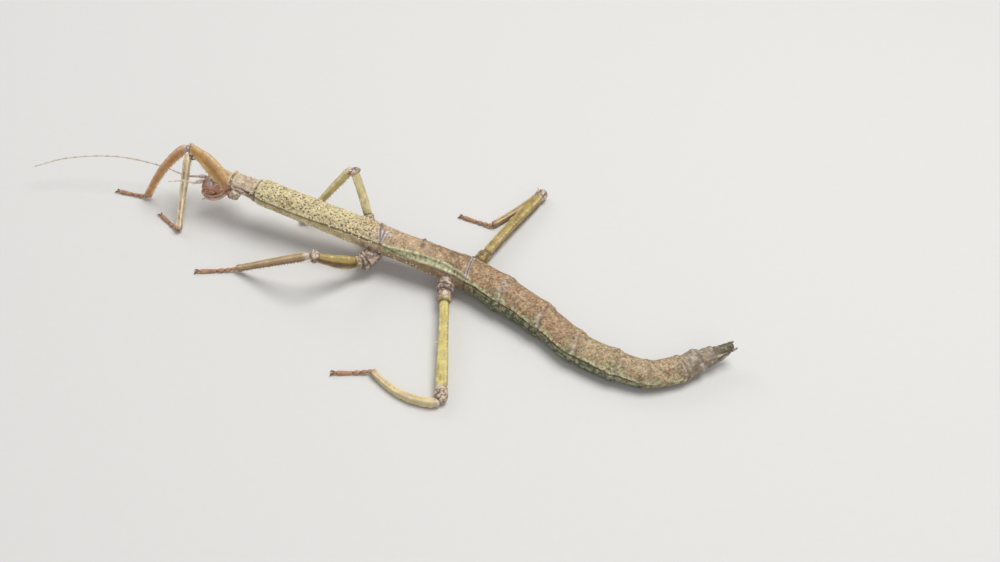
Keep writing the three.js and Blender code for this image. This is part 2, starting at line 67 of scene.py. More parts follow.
# name, length, heading, pitch, front width, rear width, height over width, swelling of the rear rim
TRUNK = (
    ("prothorax", 11.5, 0.0, 5.0, 6.8, 7.6, 0.96, 0.02),
    ("mesothorax", 47.3, 0.0, 6.0, 9.4, 10.4, 0.96, 0.02),
    ("metathorax", 17.0, 1.0, 6.6, 10.1, 10.2, 0.97, 0.03),
    ("abdomen_1", 16.0, 0.0, 7.5, 10.3, 11.6, 0.98, 0.03),
    ("abdomen_2", 15.5, -12.5, 4.4, 11.8, 13.0, 0.98, 0.05),
    ("abdomen_3", 16.9, -17.0, 3.15, 12.3, 11.9, 0.98, 0.03),
    ("abdomen_4", 15.1, -23.0, 1.1, 10.8, 11.2, 0.98, 0.03),
    ("abdomen_5", 14.0, -7.0, 1.0, 10.3, 10.8, 0.98, 0.03),
    ("abdomen_6", 10.2, 6.0, 1.7, 9.8, 9.4, 0.99, 0.03),
    ("abdomen_7", 11.2, 37.0, 1.0, 9.1, 9.2, 1.0, 0.04),
    ("abdomen_8", 6.4, 51.0, -7.2, 8.5, 8.6, 0.94, 0.05),
    ("abdomen_9", 5.4, 42.0, -11.8, 6.9, 5.9, 0.86, 0.05),
    ("abdomen_10", 6.6, 42.0, -15.8, 4.9, 2.8, 0.8, 0.0),
)
HEAD_MIDDLE = np.array([50.45, 1.2, 14.3])
HEAD_HEADING, HEAD_PITCH = 15.0, -8.0
HEAD_LENGTH, HEAD_WIDTH, HEAD_HEIGHT = 11.6, 6.9, 7.2
EYE_FORWARD, EYE_SIDE, EYE_UP = 0.6, 2.6, 2.55
SCAPE_FORWARD, SCAPE_SIDE, SCAPE_UP = 3.7, 1.15, 2.5
SCAPE_LENGTH, SCAPE_AZIMUTH, SCAPE_ELEVATION = 4.2, 10.0, -7.0
# thickness at the root and at the tip, and the places that a feeler runs through
FEELERS = {
    "left": (0.66, 0.5, ((61.3, 6.1, 15.9), (65.3, 9.0, 16.6))),
    "right": (0.8, 0.5, ((65.1, -0.1, 12.1), (74.8, -1.1, 12.1), (92.0, 2.7, 14.1),
                         (110.5, 9.4, 12.2), (121.0, 15.4, 9.4))),
}
# "back" is a hip's distance behind the neck, "side" and "drop" its place beside and below the trunk's
# centre line. "base" and "wide" are a thigh's heights at its root and where it is fullest, and "thin"
# its width.
LEGS = {
    "fore": dict(back=2.1, side=3.7, drop=4.4, femur=23.8, tibia=32.4, tarsus=11.5,
                 coxa=1.85, coxa_root=(-0.3, 1.1, 4.4), coxa_bend=0.5, coxa_end=0.2, start=0.1,
                 tilt=35.0, knob=2.9, knob_length=2.6, base=4.0, wide=5.9, knee_high=3.3, full=0.42,
                 thin=2.2, flare=0.86, shin=3.3, shin_thin=2.3, knee=1.75),
    "mid": dict(back=57.0, side=7.4, drop=5.4, femur=22.8, tibia=34.3, tarsus=12.9,
                coxa=3.3, coxa_root=(0.0, 3.0, 3.4), coxa_bend=0.0, coxa_end=1.7, start=2.4,
                tilt=22.0, knob=4.2, knob_length=3.8, base=3.9, wide=4.6, knee_high=3.0, full=0.34,
                thin=3.0, flare=0.86, shin=2.7, shin_thin=2.3, knee=2.35),
    "hind": dict(back=87.5, side=7.0, drop=2.6, femur=47.4, tibia=26.0, tarsus=11.7,
                 coxa=3.1, coxa_root=(0.0, 2.6, 2.2), coxa_bend=0.0, coxa_end=1.7, start=2.4,
                 tilt=0.0, knob=4.9, knob_length=6.2, base=3.5, wide=3.7, knee_high=4.2, full=0.4,
                 thin=3.3, flare=0.4, shin=2.9, shin_thin=2.3, knee=2.05),
}
# Headings of thigh, shin and foot, the thigh's rise, and in mm how far each part bends: "bow" and
# "arch" a thigh's sideways and upward, "sag" and "crook" a shin's.
STANCE = {
    "fore_left": dict(ahead=0.0, femur=-12.1, rise=37.5, tibia=16.6, tarsus=6.0, bow=-0.4,
                      arch=3.8, sag=0.3, crook=1.8, lower=0.0, shorter=0.0),
    "fore_right": dict(ahead=0.0, femur=-2.1, rise=16.4, tibia=106.0, tarsus=-24.0, bow=1.3,
                       arch=-0.6, sag=0.0, crook=0.2, lower=0.0, shorter=4.4),
    "mid_left": dict(ahead=0.0, femur=50.9, rise=31.9, tibia=3.6, tarsus=26.0, bow=0.3,
                     arch=-1.0, sag=0.5, crook=0.4, lower=0.0, shorter=0.0),
    "mid_right": dict(ahead=6.0, femur=-40.4, rise=52.4, tibia=33.0, tarsus=-40.0, bow=0.6,
                      arch=0.6, sag=0.3, crook=0.4, lower=0.0, shorter=4.1),
    "hind_left": dict(ahead=1.5, femur=113.8, rise=-3.5, tibia=-7.6, tarsus=24.0, bow=-0.5,
                      arch=0.6, sag=3.2, crook=0.0, lower=0.0, shorter=0.0),
    "hind_right": dict(ahead=-3.2, femur=-98.5, rise=-1.5, tibia=66.0, tarsus=-3.0, bow=-0.2,
                       arch=0.6, sag=0.6, crook=0.0, lower=1.7, shorter=0.0),
}
ANKLE_HEIGHT, TOE_HEIGHT, FOOT_RADIUS, FOOT_JOINTS = 1.5, 0.62, 0.74, 5

# ---------------------------------------------------------------- what a user may change


def tint(name, description, red, green, blue):
    """A colour property whose default is given as display values from 0 to 255."""
    return FloatVectorProperty(
        name=name, description=description, subtype="COLOR_GAMMA", size=3, min=0.0, max=1.0,
        default=(red / 255, green / 255, blue / 255),
    )


def length(name, description, millimetres):
    """A size property, held in metres."""
    return FloatProperty(
        name=name, description=description, default=millimetres * MM, min=0.0,
        unit="LENGTH", precision=5,
    )


class InsectSizes(bpy.types.PropertyGroup):
    """Fineness of the skins and the sizes of what stands on them."""

    trunk_rings: IntProperty(
        name="Trunk Rings", description="Rings along the trunk's skin", default=690, min=60)
    trunk_columns: IntProperty(
        name="Trunk Columns", description="Faces around the trunk's skin", default=136, min=24)
    pit_depth: length("Pit Depth", "Depth of the thorax's dark pits", 0.2)
    groove_depth: length("Groove Depth", "Depth of the groove along each side", 0.38)
    ring_depth: length("Ring Depth", "Depth of the fold between two segments", 0.34)
    rim_height: length("Rim Height", "Height of the rim along a segment's rear edge", 0.2)
    wrinkle_depth: length("Wrinkle Depth", "Depth of the folds of the rough segments", 0.3)
    granule_width: length("Granule Width", "Width of the largest granule", 0.62)
    tooth_height: length("Tooth Height", "Height of the teeth along a leg's edges", 0.22)
    eye_radius: length("Eye Radius", "Radius of each eye", 1.0)
    claw_length: length("Claw Length", "Reach of each claw beyond the foot", 2.3)
    claw_thickness: length("Claw Thickness", "Thickness of each claw at its root", 0.62)


class InsectColours(bpy.types.PropertyGroup):
    """Colours of the skin, the legs and the studio."""

    rose: tint("Rose Grey", "Prothorax", 208, 184, 158)
    straw: tint("Straw", "Front of the mesothorax", 213, 198, 150)
    ochre: tint("Ochre", "Streaks on the mesothorax", 178, 146, 92)
    bark: tint("Bark", "Metathorax", 190, 160, 124)
    umber: tint("Umber", "Front of the abdomen", 168, 134, 100)
    olive: tint("Olive Beige", "Middle of the abdomen", 172, 148, 112)
    ash: tint("Ash", "Rear segments", 176, 162, 142)
    tail: tint("Tail Green", "Tip of the tail", 98, 92, 72)
    pit: tint("Pit Brown", "Pits and dark specks", 74, 54, 34)
    cream: tint("Cream", "Granules, teeth and rims", 232, 220, 184)
    lavender: tint("Lavender White", "Rings between segments", 206, 198, 200)
    plum: tint("Plum Grey", "Paired bumps of the back", 112, 98, 104)
    mint: tint("Mint", "Ridges of the metathorax", 214, 222, 176)
    lichen: tint("Lichen", "Pale patches of the abdomen", 190, 200, 156)
    moss: tint("Moss", "Dark green below the side groove", 72, 84, 56)
    face: tint("Face", "Head capsule", 180, 120, 98)
    crown: tint("Crown", "Top of the head", 178, 158, 138)
    fold: tint("Fold", "Orange folds of the cheek", 192, 136, 96)
    cheek: tint("Cheek", "Red-brown folds of the cheeks", 132, 78, 60)
    amber: tint("Amber", "Core of the fore thigh", 184, 128, 66)
    honey: tint("Honey", "Edges of the fore thigh", 214, 178, 126)
    rust: tint("Rust", "Fore shin", 206, 146, 96)
    reed: tint("Reed", "Upper faces of the middle thigh", 174, 150, 84)
    # Peat on the trunk's underside and on the lower faces of the left middle and right hind legs is painted
    # shade.
    peat: tint("Peat", "Lower faces of the middle thigh", 104, 76, 44)
    lime: tint("Pale Lime", "Hind thighs", 206, 190, 112)
    tan: tint("Tan", "Shins", 186, 152, 104)
    brick: tint("Brick", "Feet", 172, 122, 96)
    claw: tint("Claw", "Claws", 96, 58, 40)
    shell: tint("Shell", "Knees, roots of the fore legs and mouth", 214, 194, 180)
    hip: tint("Hip", "Wrinkled hips of the other legs", 186, 166, 152)
    eye: tint("Eye", "Eyes", 206, 186, 182)
    floor: tint("Floor", "Studio floor", 214, 212, 208)


CLASSES = [InsectSizes, InsectColours]


def millimetres(value):
    return value / MM


def paint_of(colour):
    """A palette colour by its name, or a colour as it is, as an array of display values."""
    if isinstance(colour, str):
        colour = getattr(bpy.context.scene.insect_colours, colour)
    return np.array(colour)


# ---------------------------------------------------------------- numbers


def smooth(x, low, high):
    """0 up to low, 1 from high on, and an even ease between them."""
    t = np.clip((x - low) / (high - low), 0.0, 1.0)
    return t * t * (3.0 - 2.0 * t)


def bell(x, middle, width):
    """1 at the middle, falling away to nothing on both sides."""
    return np.exp(-(((x - middle) / width) ** 2))


def mix(a, b, t):
    """a where t is 0 and b where it is 1."""
    return a + (b - a) * t


def unit(vector):
    vector = np.asarray(vector, float)
    return vector / np.linalg.norm(vector, axis=-1, keepdims=True)


def direction(azimuth, elevation):
    """A unit vector azimuth degrees to the left of +X and elevation degrees up."""
    azimuth, elevation = math.radians(azimuth), math.radians(elevation)
    level = math.cos(elevation)
    return np.array([level * math.cos(azimuth), level * math.sin(azimuth), math.sin(elevation)])


def grid(x, y, z):
    """Points from three coordinates, each a number, a row, a column or a grid."""
    return np.stack(np.broadcast_arrays(x, y, z), -1)


def around(left, up, across, upward):
    """Offsets in each ring's own plane, as a grid of rings by columns."""
    return left[:, None, :] * across[..., None] + up[:, None, :] * upward[..., None]


def turn_about(vector, axis, degrees):
    return np.array(Matrix.Rotation(math.radians(degrees), 3, Vector(axis)) @ Vector(vector))


LATTICE = np.random.default_rng(11).uniform(-1.0, 1.0, (32, 32, 32))


def grain(points, size, seed=0, octaves=1):
    """Smooth noise from -1 to 1 whose lumps are about size across."""
    total = np.zeros(points.shape[:-1])
    strength, spread = 1.0, 0.0
    for octave in range(octaves):
        p = points * (2.0**octave / size) + 3.7 * seed + 9.1 * octave
        cell = np.floor(p).astype(int)
        f = p - cell
        f = f * f * (3.0 - 2.0 * f)
        low, high = cell % 32, (cell + 1) % 32
        value = 0.0
        for corner in range(8):
            pick = [(high if corner >> axis & 1 else low)[..., axis] for axis in range(3)]
            weight = 1.0
            for axis in range(3):
                weight = weight * (f[..., axis] if corner >> axis & 1 else 1.0 - f[..., axis])
            value = value + weight * LATTICE[pick[0], pick[1], pick[2]]
        total += strength * value
        spread += strength
        strength *= 0.5
    return total / spread


def creases(points, size, seed=0, octaves=2):
    """Narrow winding creases: 1 along a crease, falling to 0 beside it."""
    return np.clip(1.0 - np.abs(grain(points, size, seed, octaves)) * 3.2, 0.0, 1.0)


# ---------------------------------------------------------------- curves


def quadratic(a, b, c):
    """Point and tangent functions of a quadratic curve."""
    a, b, c = (np.asarray(v, float) for v in (a, b, c))

    def point(t):
        t = np.asarray(t, float)[..., None]
        return a * (1 - t) ** 2 + b * 2 * t * (1 - t) + c * t**2

    def tangent(t):
        t = np.asarray(t, float)[..., None]
        return unit((b - a) * (1 - t) + (c - b) * t)

    return point, tangent


def cubic(a, b, c, d):
    """Point and tangent functions of a cubic curve."""
    a, b, c, d = (np.asarray(v, float) for v in (a, b, c, d))

    def point(t):
        t = np.asarray(t, float)[..., None]
        return a * (1 - t) ** 3 + b * 3 * t * (1 - t) ** 2 + c * 3 * t**2 * (1 - t) + d * t**3

    def tangent(t):
        t = np.asarray(t, float)[..., None]
        return unit((b - a) * (1 - t) ** 2 + (c - b) * 2 * t * (1 - t) + (d - c) * t**2)

    return point, tangent


def spline(places):
    """Point and tangent functions of a centripetal Catmull-Rom curve through places."""
    places = np.asarray(places, float)
    last = len(places) - 1
    knots = np.vstack([2 * places[0] - places[1], places, 2 * places[-1] - places[-2]])

    def gap(p, q):
        return np.maximum(((p - q) ** 2).sum(-1) ** 0.25, 1e-9)[..., None]

    def point(t):
        place = np.clip(np.asarray(t, float), 0.0, 1.0) * last
        index = np.clip(np.floor(place).astype(int), 0, last - 1)
        w = (place - index)[..., None]
        a, b, c, d = (knots[index + k] for k in range(4))
        before, within, after = gap(a, b), gap(b, c), gap(c, d)
        start = ((b - a) / before - (c - a) / (before + within) + (c - b) / within) * within
        end = ((c - b) / within - (d - b) / (within + after) + (d - c) / after) * within
        return (b + start * w + (3 * (c - b) - 2 * start - end) * w**2
                + (2 * (b - c) + start + end) * w**3)

    def tangent(t):
        t = np.asarray(t, float)
        return unit(point(np.clip(t + 1e-4, 0, 1)) - point(np.clip(t - 1e-4, 0, 1)))

    return point, tangent


def trunk_joints():
    """Ends of the trunk's segments, from the neck to the tail."""
    joints = [NECK]
    for _, long, heading, pitch, *_ in TRUNK:
        joints.append(joints[-1] - direction(heading, pitch) * long)
    return np.array(joints)


LENGTHS = np.array([row[1] for row in TRUNK])
JOINT_AT = np.concatenate([[0.0], np.cumsum(LENGTHS)])
SEGMENTS = len(TRUNK)
trunk_point, trunk_tangent = spline(trunk_joints())


def place_of(s):
    """The place along the trunk, counted in segments, of a distance behind the neck."""
    return np.interp(s, JOINT_AT, np.arange(SEGMENTS + 1.0))


def distance_of(place):
    """The distance behind the neck of a place counted in segments."""
    return np.interp(place, np.arange(SEGMENTS + 1.0), JOINT_AT)


def trunk_axes(s):
    """Forward, left and up at distances behind the neck."""
    forward = -trunk_tangent(place_of(s) / SEGMENTS)
    left = unit(np.cross(UP, forward))
    return forward, left, np.cross(forward, left)


def trunk_half(s):
    """Half width and half height of the trunk, eased across the joints."""
    rows = np.array([row[4:8] for row in TRUNK])
    wide, high = 0.0, 0.0
    for share in np.linspace(-1.0, 1.0, 7):
        shift = share * (0.7 + 1.4 * bell(s, JOINT_AT[1], 3.0))
        place = place_of(np.clip(s + shift, 0.0, JOINT_AT[-1]))
        index = np.clip(np.floor(place).astype(int), 0, SEGMENTS - 1)
        u = place - index
        front, rear, deep, flare = (rows[index, k] for k in range(4))
        half = mix(front, rear, u) / 2 * (1 - 0.025 * np.sin(np.pi * u))
        half = half * (1 + flare * smooth(u, 0.8, 0.97))
        wide, high = wide + half / 7, high + half * deep / 7
    return wide, high


def trunk_surface(s, turn):
    """Points of the trunk's surface and their outward normals."""
    s, turn = np.broadcast_arrays(np.asarray(s, float), np.asarray(turn, float))
    _, left, up = trunk_axes(s)
    wide, high = trunk_half(s)
    normal = unit(left * (np.cos(turn) / wide)[..., None] + up * (np.sin(turn) / high)[..., None])
    point = (trunk_point(place_of(s) / SEGMENTS) + left * (np.cos(turn) * wide)[..., None]
             + up * (np.sin(turn) * high)[..., None])
    return point, normal


# ---------------------------------------------------------------- meshes


def places_of(mesh):
    """The places of a mesh's vertices, one row each."""
    places = np.empty(len(mesh.vertices) * 3)
    mesh.vertices.foreach_get("co", places)
    return places.reshape(-1, 3)


def ball_mesh(segments, rings):
    """A ball of radius 1."""
    bm = bmesh.new()
    bmesh.ops.create_uvsphere(bm, u_segments=segments, v_segments=rings, radius=1.0)
    mesh = bpy.data.meshes.new("ball")
    bm.to_mesh(mesh)
    bm.free()
    return mesh


def sheet(rings, columns):
    """A flat grid ready to be rolled into a tube, with its ring and column numbers."""
    bm = bmesh.new()
    bmesh.ops.create_grid(bm, x_segments=rings, y_segments=columns, size=0.5)
    mesh = bpy.data.meshes.new("sheet")
    bm.to_mesh(mesh)
    bm.free()
    places = places_of(mesh)
    ring = np.rint((places[:, 0] + 0.5) * rings).astype(int)
    column = np.rint((places[:, 1] + 0.5) * columns).astype(int) % columns
    return mesh, ring, column


def rolled(rings, columns, shape):
    """A closed tube as a mesh. shape(t, turn) takes a column of t and a row of turn, and gives
    millimetres, display colours and fleck strength, as arrays of rings by columns."""
    mesh, ring, column = sheet(rings, columns)
    t = np.linspace(0.0, 1.0, rings + 1)[:, None]
    turn = (np.arange(columns) * (2 * np.pi / columns))[None, :]
    points, paint, fleck = shape(t, turn)
    full = (rings + 1, columns)
    points = np.broadcast_to(points, full + (3,))[ring, column]
    paint = np.broadcast_to(paint, full + np.shape(paint)[-1:])[ring, column]
    fleck = np.broadcast_to(fleck, full)[ring, column]
    return dress(mesh, points, paint, fleck)


def dress(mesh, points, paint, fleck):
    """Moves a mesh's vertices to points, in mm, closes it and stores its colours."""
    mesh.vertices.foreach_set("co", ((points + CENTRE) * MM).astype(np.float32).ravel())
    store(mesh, paint, fleck)
    bm = bmesh.new()
    bm.from_mesh(mesh)
    bmesh.ops.remove_doubles(bm, verts=bm.verts, dist=2e-6)
    bmesh.ops.dissolve_degenerate(bm, dist=1e-7, edges=bm.edges)
    bmesh.ops.recalc_face_normals(bm, faces=bm.faces)
    bm.to_mesh(mesh)
    bm.free()
    return mesh


def store(mesh, paint, fleck):
    """Writes display colours, how many pores the skin has, and how flecked it is."""
    count = len(mesh.vertices)
    paint = np.clip(np.broadcast_to(paint, (count,) + np.shape(paint)[-1:]), 0.0, 1.0)
    pores = paint[:, 3:] if paint.shape[1] > 3 else np.zeros((count, 1))
    paint = paint[:, :3]
    linear = np.where(paint <= 0.04045, paint / 12.92, ((paint + 0.055) / 1.055) ** 2.4)
    layer = mesh.attributes.new("paint", "FLOAT_COLOR", "POINT")
    layer.data.foreach_set("color", np.hstack([linear, pores]).astype(np.float32).ravel())
    layer = mesh.attributes.new("fleck", "FLOAT", "POINT")
    layer.data.foreach_set("value", np.broadcast_to(fleck, (count,)).astype(np.float32))


def cover(paint, mask, colour):
    """Lays a colour over paint where mask is above nothing."""
    return paint + (paint_of(colour) - paint) * np.clip(mask, 0.0, 1.0)[..., None]


def flat(colour, points):
    """One colour for every one of points."""
    return np.broadcast_to(paint_of(colour), points.shape)


def layered(paint, *coats):
    """Lays coats over paint in order, each a mask and its colour."""
    for mask, colour in coats:
        paint = cover(paint, mask, colour)
    return paint


def joined(name, meshes, material):
    """One object from several meshes."""
    bm = bmesh.new()
    for mesh in meshes:
        bm.from_mesh(mesh)
        bpy.data.meshes.remove(mesh)
    whole = bpy.data.meshes.new(name)
    bm.to_mesh(whole)
    bm.free()
    whole.polygons.foreach_set("use_smooth", [True] * len(whole.polygons))
    whole.materials.append(material)
    piece = bpy.data.objects.new(name, whole)
    bpy.context.scene.collection.objects.link(piece)
    return piece


def settle(piece, slot, *nodes):
    """Hangs a finished piece under the root and hides the model's parts that it stands for; slot is not
    used.
    """
    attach(piece, "root")
    if nodes:
        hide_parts(*nodes)


def blob(middle, axes, radii, paint, fleck=0.3, rows=12, lumps=0.0, seed=0):
    """A rounded lump with its first axis along axes[0]."""
    mesh = ball_mesh(rows + 4, rows)
    ball = places_of(mesh)
    points = np.asarray(middle) + (ball * np.asarray(radii)) @ np.asarray(axes)
    if lumps:
        points = points + (ball @ np.asarray(axes)) * (grain(points, 0.8, seed, 2) * lumps)[:, None]
    return dress(mesh, points, paint, fleck)


def basis(along, hint=UP):
    """Three axes from the direction of the first: along, left and up."""
    along = unit(along)
    left = unit(np.cross(hint, along))
    return np.array([along, left, np.cross(along, left)])


def spike(root, tip, thick, paint, sides):
    """A small closed cone with a rounded tip."""
    root, tip = np.asarray(root, float), np.asarray(tip, float)
    upright = abs(unit(tip - root)[2]) >= 0.9
    along, left, up = basis(tip - root, hint=np.array([1.0, 0, 0]) if upright else UP)
    reach = np.linalg.norm(tip - root)

    def shape(t, turn):
        half = thick / 2 * np.sqrt(np.clip(1 - t, 0, 1)) * smooth(t, -0.01, 0.02) * mix(1, 0.8, t)
        ring = left * np.cos(turn)[..., None] + up * np.sin(turn)[..., None]
        points = root + along * (t * reach)[..., None] + ring * half[..., None]
        points[..., 2] = points[..., 2].clip(0.05)
        return points, paint, 0.0

    return rolled(5, sides, shape)


# ---------------------------------------------------------------- materials

COAT_ROUGHNESS = 0.25


class Finish:
    """A procedural finish that starts from a piece's own painted colours."""

    def __init__(self, name, roughness, coat=0.0, subsurface=0.0):
        self.material = bpy.data.materials.new(name)
        self.material.use_nodes = True
        self.tree = self.material.node_tree
        self.shader = self.tree.nodes["Principled BSDF"]
        self.shader.inputs["Coat Weight"].default_value = coat
        self.shader.inputs["Coat Roughness"].default_value = COAT_ROUGHNESS
        self.shader.inputs["Subsurface Weight"].default_value = subsurface
        self.shader.inputs["Subsurface Scale"].default_value = 1.2 * MM
        self.where = self.add("ShaderNodeTexCoord").outputs["Object"]
        painted = self.add("ShaderNodeAttribute", attribute_name="paint")
        self.paint, self.pores = painted.outputs["Color"], painted.outputs["Alpha"]
        self.fleck = self.add("ShaderNodeAttribute", attribute_name="fleck").outputs["Fac"]
        self.roughness = roughness

    def add(self, kind, inputs=None, **settings):
        node = self.tree.nodes.new(kind)
        for key, value in settings.items():
            setattr(node, key, value)
        for key, value in (inputs or {}).items():
            if isinstance(value, bpy.types.NodeSocket):
                self.tree.links.new(value, node.inputs[key])
            else:
                node.inputs[key].default_value = value
        return node

    def noise(self, size, detail=2.0, roughness=0.5):
        """Noise whose lumps are about size millimetres across."""
        return self.add("ShaderNodeTexNoise", {
            "Vector": self.where, "Scale": 1.0 / (size * MM), "Detail": detail,
            "Roughness": roughness,
        }).outputs["Fac"]

    def cells(self, size):
        """How far each place is from the middle of its cell, of cells about size across."""
        return self.add("ShaderNodeTexVoronoi", {
            "Vector": self.where, "Scale": 1.0 / (size * MM), "Randomness": 1.0,
        }).outputs["Distance"]

    def between(self, value, low, high, to_low=0.0, to_high=1.0):
        return self.add("ShaderNodeMapRange", {
            0: value, 1: low, 2: high, 3: to_low, 4: to_high,
        }, interpolation_type="SMOOTHSTEP").outputs[0]

    def maths(self, operation, a, b):
        return self.add("ShaderNodeMath", {0: a, 1: b}, operation=operation).outputs[0]

    def blend(self, amount, a, b, kind="MIX"):
        return self.add("ShaderNodeMix", {0: amount, 6: a, 7: b}, data_type="RGBA",
                        blend_type=kind).outputs[2]

    def close(self, colour, heights, shine=0.12):
        """Connects the colour, a varied roughness and bump from (height, depth in mm) pairs."""
        link = self.tree.links.new
        link(colour, self.shader.inputs["Base Color"])
        rough = self.between(self.noise(1.1, 3.0), 0.3, 0.7, self.roughness - shine, self.roughness + shine)
        link(rough, self.shader.inputs["Roughness"])
        normal = None
        for height, depth in heights:
            bump = self.add("ShaderNodeBump", {"Height": height, "Distance": depth * MM, "Strength": 1.0})
            if normal:
                link(normal, bump.inputs["Normal"])
            normal = bump.outputs["Normal"]
        link(normal, self.shader.inputs["Normal"])
        return self.material


# Colours that the materials lay over the paint, as the shader wants them.
DARK_SPECK = (0.075, 0.055, 0.035, 1.0)
DUST = (0.72, 0.64, 0.44, 1.0)
PORE = (0.08, 0.045, 0.02, 1.0)
EYE_CLOUD = (0.32, 0.2, 0.16, 1.0)
CLAW_STREAK = (0.03, 0.014, 0.008, 1.0)


def skin_finish(name, roughness, mottle=0.22, speck=0.42, bump=0.05, coat=0.0, subsurface=0.0):
    """Mottled cuticle: cloudy tone, dark specks where the skin is flecked, and pale dust."""
    f = Finish(name, roughness, coat, subsurface)
    cloud = f.between(f.noise(2.4, 4.0, 0.6), 0.3, 0.7, 1.0 - mottle, 1.0 + mottle * 0.7)
    tone = f.add("ShaderNodeCombineColor", {0: cloud, 1: cloud, 2: cloud}).outputs[0]
    colour = f.blend(1.0, f.paint, tone, "MULTIPLY")
    specks = f.between(f.noise(speck, 2.0, 0.6), 0.56, 0.68)
    colour = f.blend(f.maths("MULTIPLY", specks, f.fleck), colour, DARK_SPECK)
    dust = f.between(f.noise(speck * 1.4, 3.0, 0.7), 0.60, 0.74, 0.0, 0.32)
    colour = f.blend(dust, colour, DUST)
    pits = f.maths("MULTIPLY", f.between(f.cells(0.95), 0.19, 0.33, 1.0, 0.0), f.pores)
    colour = f.blend(f.maths("MULTIPLY", pits, 0.6), colour, PORE)
    heights = [(f.noise(1.3, 3.0, 0.6), bump * 2), (f.noise(0.28, 2.0, 0.6), bump), (pits, -0.12)]
    return f.close(colour, heights)


def eye_finish():
    """Glossy facets over a pale eye."""
    f = Finish("eye_cornea", 0.18, coat=0.6)
    facets = f.cells(0.12)
    cloud = f.between(f.noise(0.5, 3.0), 0.4, 0.7, 0.0, 0.22)
    colour = f.blend(cloud, f.paint, EYE_CLOUD)
    return f.close(colour, [(facets, 0.015)], shine=0.05)


def claw_finish():
    """Dark streaks in polished horn."""
    f = Finish("claw_horn", 0.32, coat=0.3)
    streak = f.between(f.noise(0.3, 3.0), 0.35, 0.7, 0.0, 0.6)
    colour = f.blend(streak, f.paint, CLAW_STREAK)
    return f.close(colour, [(f.noise(0.2, 2.0), 0.02)])


FINISHES = {}


def finish(name):
    """The finish of that name, made once."""
    makers = {
        "trunk": lambda: skin_finish("trunk_cuticle", 0.62, bump=0.06),
        "head": lambda: skin_finish("head_cuticle", 0.5, mottle=0.18, speck=0.3, bump=0.03, coat=0.1),
        "leg": lambda: skin_finish(
            "leg_cuticle", 0.5, mottle=0.16, speck=0.34, bump=0.03, coat=0.08, subsurface=0.08),
        "granule": lambda: skin_finish("granule_cuticle", 0.55, mottle=0.12, speck=0.2, bump=0.02),
        "eye": eye_finish,
        "claw": claw_finish,
    }
    if name not in FINISHES:
        FINISHES[name] = makers[name]()
    return FINISHES[name]


# ---------------------------------------------------------------- trunk skin

NECK_REACH = 3.4        # how far the skin runs on inside the head
THROAT_HALF = 2.25, 2.2  # half width and half height inside the head
NECK_ROUND, TAIL_ROUND = 1.0, 1.1   # lengths over which the skin's ends close
CORNERED_JOINTS = range(4, 9)       # joints with a raised corner on each side of the back
SLANT = 1.6             # the rings' left edge lies this far behind their top
ROLL = 14.0             # degrees by which the back leans to the right
# (place, degrees above level) of the groove along each side
GROOVE = ((0.2, 6), (0.9, 2), (1.15, -5), (1.35, -6), (1.5, -1), (1.63, 4), (1.8, 11), (2.05, 13),
          (2.4, 2), (3.2, 2), (4.2, 8), (4.85, 7), (5.3, 12), (5.9, 3), (6.5, 3), (7.1, 6), (8.0, -2),
          (9.0, -14), (10.0, -24), (11.0, -34), (13.0, -34))
RIDGE_UP = ((2.02, 13), (2.5, 26), (2.94, 36), (3.4, 38), (3.8, 31), (4.2, 24))
RIDGE_LOW = ((2.3, -6), (2.53, -1), (3.2, 14), (3.7, 16), (4.2, 12))
# The trunk's colours from the neck to the tail, by place.
TRUNK_STOPS = (
    (0.0, "rose"), (0.9, "rose"), (1.05, "straw"), (1.7, "straw"), (2.1, "bark"), (3.0, "bark"),
    (4.0, "umber"), (6.6, "umber"), (7.2, "olive"), (9.6, "olive"), (10.2, "ash"), (11.6, "ash"),
    (12.3, "tail"), (13.0, "tail"),
)


def fold_of(turn):
    """Degrees above level, from -90 under the body to 90 on its back, on either side alike."""
    return np.degrees(np.arcsin(np.clip(np.sin(turn - math.radians(ROLL)), -1, 1)))


def stamp(field, s, marks, wide, high):
    """Adds round marks to a field of rings by columns. Each mark is (s, turn, radius, height)."""
    rings, columns = field.shape
    step = s[1] - s[0]
    for at, angle, radius, height in marks:
        ring = int(round((at - s[0]) / step))
        if not 0 <= ring < rings:
            continue
        girth = max((wide[ring] + high[ring]) / 2, 0.5)
        reach = int(radius * 1.6 / step) + 1
        span = int(radius * 1.6 / (girth * 2 * np.pi / columns)) + 1
        r = np.arange(max(ring - reach, 0), min(ring + reach + 1, rings))
        middle = angle / (2 * np.pi) * columns
        c = np.arange(int(middle) - span, int(middle) + span + 2)
        down = (s[r] - at)[:, None]
        across = ((c - middle) * (2 * np.pi / columns) * girth)[None, :]
        shape = np.exp(-((down**2 + across**2) / radius**2) * 1.4) * height
        block = field[np.ix_(r, c % columns)]
        field[np.ix_(r, c % columns)] = np.where(np.abs(shape) > np.abs(block), shape, block)


def scatter(rng, count, places, folds, radii, heights, spacing):
    """Marks spread over a stretch of both sides of the trunk, no nearer than spacing."""
    marks, kept = [], []
    low, high = distance_of(places[0]), distance_of(places[1])
    for _ in range(count * 4):
        if len(marks) >= count:
            break
        at = rng.uniform(low, high)
        fold = math.radians(rng.uniform(*folds))
        turn = (fold if rng.random() < 0.5 else np.pi - fold) + math.radians(ROLL)
        spot = np.array([at, 5 * math.cos(turn), 5 * math.sin(turn)])
        if kept and np.min(((np.array(kept[-220:]) - spot) ** 2).sum(1)) < spacing**2:
            continue
        kept.append(spot)
        size = rng.uniform(0.0, 1.0)
        marks.append((at, turn % (2 * np.pi), mix(*radii, size), mix(*heights, size)))
    return marks


